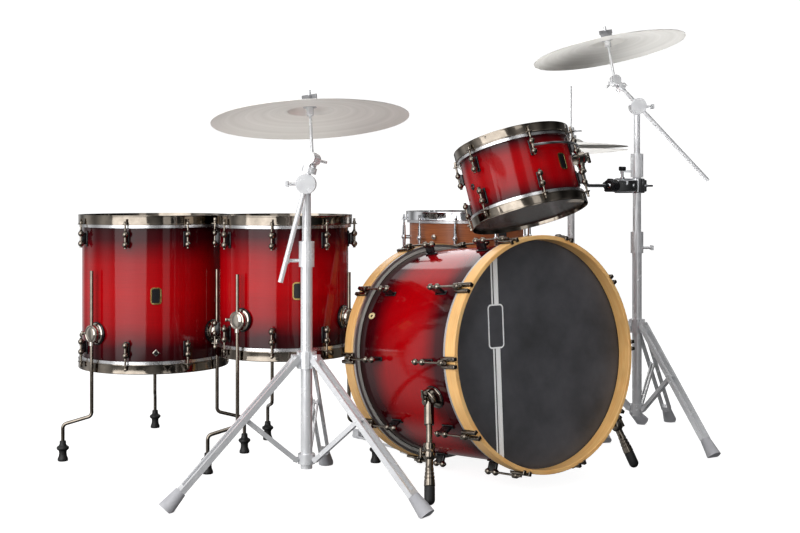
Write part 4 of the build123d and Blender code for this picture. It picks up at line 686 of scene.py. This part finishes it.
plates = bmesh.new()
for side in ("left", "right"):
    fold, pull = joints[side + "_spur_fold"], joints[side + "_spur_retract"]
    pivot, outward, line = Vector(fold["pos_m"]), Vector(fold["axis"]), -Vector(pull["axis"])
    if outward.dot(pivot - BASS.middle) < 0:
        outward = -outward
    spur = [placed(pivot, outward, line)]
    tip = bmesh.new()
    add(tip, turned(SPUR_OUTLINE, 40), spur)
    add(tip, laid(turned(SPUR_SCREW, 20), ALONG, (0, 0, SPUR_SCREW_AT)), spur)
    add(tip, block(SPUR_WING, 2.2, (SPUR_WING_OUT, 0, SPUR_SCREW_AT)), spur)
    add(tip, turned(ball_outline, 40), spur, 1)
    show(side + "_spur_cone", tip, side + "_spur_tip", (nickel, rubber),
         (side + "_spur_foot",))
    # The housing and the lever are opposite the middle of the leg's swing
    clear = -(Matrix.Rotation(SPUR_HALF_FOLD, 3, fold["axis"]) @ line)
    start = Matrix.Rotation(-HOUSING_ARC / 2, 3, outward) @ clear
    base = pivot - outward * SPUR_SEAT
    seat = placed(base, BASS.axis, outward)
    oval = [seat @ Matrix.Diagonal((1.0, 0.9, 1.0, 1.0))]
    add(plates, turned(HOUSING_OUTLINE, 40, True, HOUSING_ARC), [placed(base, start, outward)])
    add(plates, turned(SPUR_GASKET, 56), oval, 1)
    add(plates, turned(SPUR_PLATE, 56), oval)
    bolts = [seat @ Matrix.Translation((along, 0, 0)) for along in (-SPUR_BOLT_OUT, SPUR_BOLT_OUT)]
    add(plates, turned(SPUR_BOLT, 16), bolts)
    add(plates, block(SPUR_LEVER, 2.3, SPUR_LEVER_AT), [placed(base, clear, outward)])
    add(plates, turned(SPUR_PIN, 32), [seat])
show("bass_spur_brackets", plates, "kit", (nickel, enamel), ("spur_brackets",))

# Rack tom bracket: strap over the upper lugs, bridge, receiver and round housing
LUG_LEVEL = TOM.half - TOM_DROP * MM
STRAP_IN, STRAP_THICK, STRAP_HIGH, STRAP_ARC = 23.4, 3.0, 7.0, math.radians(120)
TOM_BRIDGE = (30.0, 11.0)
TOM_WING = (12.0, 6.0, 33.0)
TOM_WING_OUT = 34.0
post = Vector(joints["tom_swivel"]["pos_m"])
hub = TOM.middle + TOM.axis * LUG_LEVEL
post_out = (post - hub).normalized()
strap_low = TOM.radius / MM + STRAP_IN
strap_outline = [(strap_low, -STRAP_HIGH / 2), (strap_low + STRAP_THICK, -STRAP_HIGH / 2),
                 (strap_low + STRAP_THICK, STRAP_HIGH / 2), (strap_low, STRAP_HIGH / 2)]
bracket = bmesh.new()
strap = turned(eased(strap_outline, 0.9), 48, True, STRAP_ARC)
add(bracket, strap, [placed(hub, out_of(TOM, TOM_TURN), TOM.axis)])
post_place = placed(post, post_out, TOM.axis)
reach = (post - hub).length / MM - strap_low
add(bracket, block((reach, *TOM_BRIDGE), 3.0, (-reach / 2, 0, 0)), [post_place], 1)
receiver_outline = [(0, -44), (10.6, -44), (12, -42.6), (12, -37), (10.4, -35.4), (10.4, -24), (12, -22.4),
                    (12, 22), (10.6, 24), (0, 24)]
add(bracket, turned(receiver_outline, 40), [post_place], 1)
drum_outline = [(0, -14), (17.6, -14), (19, -12.6), (19, 0), (18, 1), (18, 2.4), (20, 4), (20, 10),
                (18.6, 12.6), (15.4, 13.4), (15.4, 15), (16.2, 16), (15.6, 18), (12, 20.2), (4, 21), (4, 34),
                (0, 34)]
add(bracket, laid(turned(drum_outline, 48), ALONG), [post_place], 1)
add(bracket, block(TOM_WING, 2.8, (TOM_WING_OUT, 0, 0)), [post_place], 1)
show("rack_tom_strap", bracket, "rack_tom", (mirror, bright), ("rack_tom_bracket",))

# Clamp between the tom arm and the right stand
ball = Vector(joints["tom_arm_tilt"]["pos_m"])
pole = Vector(joints["right_boom_tilt"]["pos_m"])
pole.z = ball.z
arm_way = (pole - ball).normalized()
clamp_place = placed(ball, UP, arm_way)
pole_at = (pole - ball).length / MM
clamp = bmesh.new()
JAW_OUTLINE = ((10.2, -15), (14, -15), (17, -13.4), (18.6, -9), (18.6, -4), (15, 2), (15, 12), (19, 17),
               (19, 21), (14, 23), (10.2, 23))
JAW_KNOBS = 5
CLAMP_RIVET = ((0, 14), (6, 14), (6, 17), (4.6, 18.6), (0, 19))
PINCH_BOLT = ((0, -18), (4, -18), (4, 16), (6, 17), (6, 20), (0, 20))
TOP_SCREW = ((0, 0), (7, 0), (7, 5), (4, 7), (4, 22), (0, 22))
add(clamp, turned(JAW_OUTLINE, 40, True), [clamp_place], 1)
for step in range(JAW_KNOBS):
    spin = Matrix.Rotation(math.tau * step / JAW_KNOBS, 4, "Z")
    add(clamp, block((7, 9, 22), 2.6, (17.4, 0, -3)), [clamp_place @ spin], 1)
body_end = pole_at - 16
add(clamp, block((36, 32, body_end - 18), 5.0, (0, 0, (body_end + 18) / 2)), [clamp_place])
add(clamp, block((44, 8, body_end - 26), 2.4, (0, 0, (body_end + 22) / 2)), [clamp_place])
for side in (-1, 1):
    rivet = laid(turned(CLAMP_RIVET, 24), (0, side, 0), (0, 0, body_end - 24))
    add(clamp, rivet, [clamp_place])
grip_outline = eased([(16, -22), (23, -22), (23, 22), (16, 22)], 2.4)
pole_place = placed(pole, arm_way, UP)
add(clamp, turned(grip_outline, 48, True), [pole_place])
for side in (-1, 1):
    add(clamp, block((16, 9, 36), 3.0, (26, 9.5 * side, 0)), [pole_place])
add(clamp, laid(turned(PINCH_BOLT, 24), (0, 1, 0), (29, 0, 0)), [pole_place])
add(clamp, laid(turned([(0, 30), (4, 30), (4, 50), (0, 50)], 20), ALONG), [pole_place])
add(clamp, block((13, 34, 6), 2.7, (58, 0, 0)), [pole_place], 1)
top_place = clamp_place @ Matrix.Translation((22, 0, 61))
add(clamp, laid(turned(TOP_SCREW, 20), ALONG, (-2, 0, 0)), [top_place])
add(clamp, block((13, 6, 34), 2.7, (28.4, 0, 0)), [top_place], 1)
show("tom_stand_clamp", clamp, "kit", (mirror, enamel), ("tom_clamp",))


# Badges, vents and the snare's vent knob
def wrapped(part, drum, angle, depth):
    """A flat part, X outward and Z along the drum, bent onto a shell and left in metres."""
    for vert in part.verts:
        turn = angle + math.degrees(vert.co.y * MM / drum.radius)
        reach = drum.radius + vert.co.x * MM
        vert.co = drum.middle + out_of(drum, turn) * reach + drum.axis * (depth + vert.co.z * MM)
    return part


BADGE = (1.6, 30.0, 47.0)
BADGE_CORNER = 9.0
BADGE_RIM = 3.6
BADGE_CUTS = (-10, -5, 0, 5, 10)


def badge(piece, drum, angle, depth):
    """Bare badge: a gold rim round a dark plate, bent onto the shell."""
    part = bmesh.new()
    bmesh.ops.create_cube(part, size=1.0)
    bmesh.ops.scale(part, vec=BADGE, verts=part.verts)
    corners = [edge for edge in part.edges if abs(edge.verts[0].co.x - edge.verts[1].co.x) > MM]
    bmesh.ops.bevel(
        part, geom=corners, offset=BADGE_CORNER, segments=5, affect="EDGES", profile=0.5, material=-1)
    face = max(part.faces, key=lambda face: face.calc_center_median().x)
    bmesh.ops.inset_region(part, faces=[face], thickness=BADGE_RIM, depth=0.0)
    bmesh.ops.inset_region(part, faces=[face], thickness=0.4, depth=-0.5)
    face.material_index = 1
    for cut in BADGE_CUTS:
        whole = part.verts[:] + part.edges[:] + part.faces[:]
        bmesh.ops.bisect_plane(part, geom=whole, plane_co=(0, cut, 0), plane_no=(0, 1, 0))
    bmesh.ops.translate(part, vec=(BADGE[0] / 2, 0, 0), verts=part.verts)
    mesh = bpy.data.meshes.new("badge")
    wrapped(part, drum, angle, depth).to_mesh(mesh)
    part.free()
    piece.from_mesh(mesh)
    bpy.data.meshes.remove(mesh)


def vent_place(drum, angle, depth):
    """A place on a shell, X along the drum and Z outward."""
    out = out_of(drum, angle)
    return placed(drum.middle + out * drum.radius + drum.axis * depth, drum.axis, out)


GROMMET = ((3.2, -0.4), (9.0, -0.4), (9.0, 0.8), (7.4, 2.6), (4.6, 2.6), (3.2, 1.2))
# Angles round a drum in degrees and depths along it
BADGE_16, BADGE_14, BADGE_TOM = (-23.08, -3.6 * MM), (-18.63, -6.7 * MM), (10.61, 0.3 * MM)
DIAMOND_16 = (-23.08, -160.1 * MM)
BASS_VENT, TOM_VENT, SNARE_KNOB = (156.83, -159.5 * MM), (-100.4, -5.2 * MM), (-71.19, 4.1 * MM)
trim = bmesh.new()
badge(trim, FLOOR_16, *BADGE_16)
badge(trim, FLOOR_14, *BADGE_14)
diamond = vent_place(FLOOR_16, *DIAMOND_16)
cornerwise = diamond @ Matrix.Rotation(math.radians(45), 4, "Z")
add(trim, block((15, 15, 3.2), 1.4, (0, 0, 1.2)), [cornerwise], 2)
add(trim, turned([(0, 2), (5.4, 2), (5.4, 3.4), (4.2, 4.4), (0, 4.4)], 24), [diamond], 1)
oval = vent_place(BASS, *BASS_VENT) @ Matrix.Diagonal((1.5, 1.0, 1.0, 1.0))
add(trim, turned(GROMMET, 32, True), [oval], 3)
add(trim, turned([(0, -0.2), (3.6, -0.2), (3.6, 0.5), (0, 0.5)], 24), [oval], 1)
add(trim, turned([(0, -0.3), (6, -0.3), (6, 3), (7.6, 5), (7.6, 8), (5, 10.4), (0, 11)], 28),
    [vent_place(SNARE, *SNARE_KNOB)], 2)
show("shell_trim", trim, "kit", (gold, enamel, bright, cream))
trim = bmesh.new()
badge(trim, TOM, *BADGE_TOM)
tom_vent = vent_place(TOM, *TOM_VENT)
add(trim, turned(GROMMET, 28, True), [tom_vent], 1)
show("tom_trim", trim, "rack_tom", (gold, enamel))

# Stage
FLOOR_REACH = 40.0
DOME_REACH = 45.0


def glow(name, strength):
    """Pale studio paper that is lit from within, for the floor and the backdrop."""
    material, tree, shader, place = surface(name, Specular_IOR_Level=0.0, Roughness=0.9)
    shader.inputs["Emission Color"].default_value = (1, 1, 1, 1)
    shader.inputs["Emission Strength"].default_value = strength
    paper = node(tree, "TexNoise", {"Vector": place, "Scale": per(900), "Detail": 2.0})
    finish(tree, shader, Base_Color=node(tree, "ValToRGB", (paper,), stops=((0.3, 0.38), (0.7, 0.42))))
    return material


def stage(name, sheet, material):
    mesh = bpy.data.meshes.new(name)
    sheet.to_mesh(mesh)
    sheet.free()
    mesh.materials.append(material)
    item = bpy.data.objects.new(name, mesh)
    bpy.context.collection.objects.link(item)
    return item


sheet = bmesh.new()
bmesh.ops.create_grid(sheet, x_segments=1, y_segments=1, size=FLOOR_REACH)
bmesh.ops.translate(sheet, vec=(0, 0, -MM), verts=sheet.verts)
ground = stage("floor", sheet, glow("floor_paper", 0.90))
sheet = bmesh.new()
bmesh.ops.create_uvsphere(sheet, u_segments=48, v_segments=24, radius=DOME_REACH)
dome = stage("backdrop", sheet, glow("backdrop_paper", 1.0))
for paper in (ground, dome):
    paper.visible_shadow = False
    paper.visible_diffuse = False
    paper.visible_glossy = False

VIEW = Vector((0.5807, 0.8141, 0.0))
RIGHT = Vector((0.8141, -0.5807, 0.0))
# The photograph's camera, solved from the drums
EYE = BASS.middle + Vector((-2.11505, -2.548892, 0.428843))
MIDDLE = Vector((0.0, 0.0, 0.5))
STRIPS = 9.0
# Watts of the lamps under the cymbals, how far below they are and how wide they spread
BOUNCE = {"left_cymbal": 1.1, "right_cymbal": 3.0}
BOUNCE_DROP = 0.45
BOUNCE_SPREAD = math.radians(70)

# Studio light: paler on the left than on the right
world = bpy.data.worlds.new("studio")
bpy.context.scene.world = world
world.use_nodes = True
air = world.node_tree
sky = node(air, "TexCoord", output="Generated")
lean = node(air, "VectorMath", (sky, UP * 0.6 - RIGHT * 0.8), "Value", operation="DOT_PRODUCT")
fade = node(air, "MapRange", (lean, -0.5, 0.9, 0.035, 0.60))
# Strip lights: pale and dark bands that streak the plated hoops
ahead = node(air, "VectorMath", (sky, VIEW), "Value", operation="DOT_PRODUCT")
beside = node(air, "VectorMath", (sky, RIGHT), "Value", operation="DOT_PRODUCT")
heading = node(air, "Math", (beside, ahead), operation="ARCTAN2")
turn = node(air, "Math", (heading, STRIPS), operation="MULTIPLY")
strips = node(air, "MapRange", (node(air, "Math", (turn,), operation="SINE"), -1.0, 1.0, 0.45, 1.55))
banded = node(air, "Math", (fade, strips), operation="MULTIPLY")
air.links.new(banded, air.nodes["Background"].inputs["Strength"])
air.nodes["Background"].inputs["Color"].default_value = (1, 1, 1, 1)


def softbox(name, at, aim, size, power, mirrored=True, spread=math.pi):
    """A soft rectangular lamp that the camera doesn't see, nor gloss unless it is mirrored."""
    light = bpy.data.lights.new(name, "AREA")
    light.shape = "RECTANGLE"
    light.size, light.size_y = size
    light.energy = power
    light.spread = spread
    item = bpy.data.objects.new(name, light)
    aimed = (Vector(aim) - Vector(at)).to_track_quat("-Z", "Y").to_matrix().to_4x4()
    item.matrix_world = Matrix.Translation(at) @ aimed
    item.visible_camera = False
    item.visible_glossy = mirrored
    bpy.context.collection.objects.link(item)


softbox("key", MIDDLE - VIEW * 2.3 - RIGHT * 1.75 + UP * 0.75, MIDDLE - RIGHT * 0.3, (2.6, 2.8), 66)
softbox("strip", MIDDLE - VIEW * 2.6 + RIGHT * 0.75 + UP * 0.5, MIDDLE, (0.6, 2.2), 4.5)
softbox("top", MIDDLE - VIEW * 0.2 + UP * 2.5, MIDDLE, (3.4, 2.6), 21)
before_bass = BASS.middle + FRONT * 1.3 + RIGHT * 0.8 + UP * 0.2
softbox("front", before_bass, BASS.middle, (0.8, 0.8), 6, False)
for name in ("left_cymbal", "right_cymbal"):
    under = DISCS[name].middle
    softbox(name + "_bounce", under - UP * BOUNCE_DROP, under, (0.7, 0.7), BOUNCE[name], False, BOUNCE_SPREAD)
softbox("rear", MIDDLE + VIEW * 2.6 + UP * 1.4, MIDDLE, (2.2, 1.2), 14)

camera = bpy.data.cameras.new("camera")
camera.sensor_width = 36.0
camera.lens = 55.79
camera.shift_x = 0.0044
camera.shift_y = -0.0948
camera.clip_end = 200.0
viewer = bpy.data.objects.new("camera", camera)
viewer.matrix_world = Matrix.Translation(EYE) @ VIEW.to_track_quat("-Z", "Y").to_matrix().to_4x4()
bpy.context.collection.objects.link(viewer)
bpy.context.scene.camera = viewer
bpy.context.scene.view_settings.view_transform = "Standard"
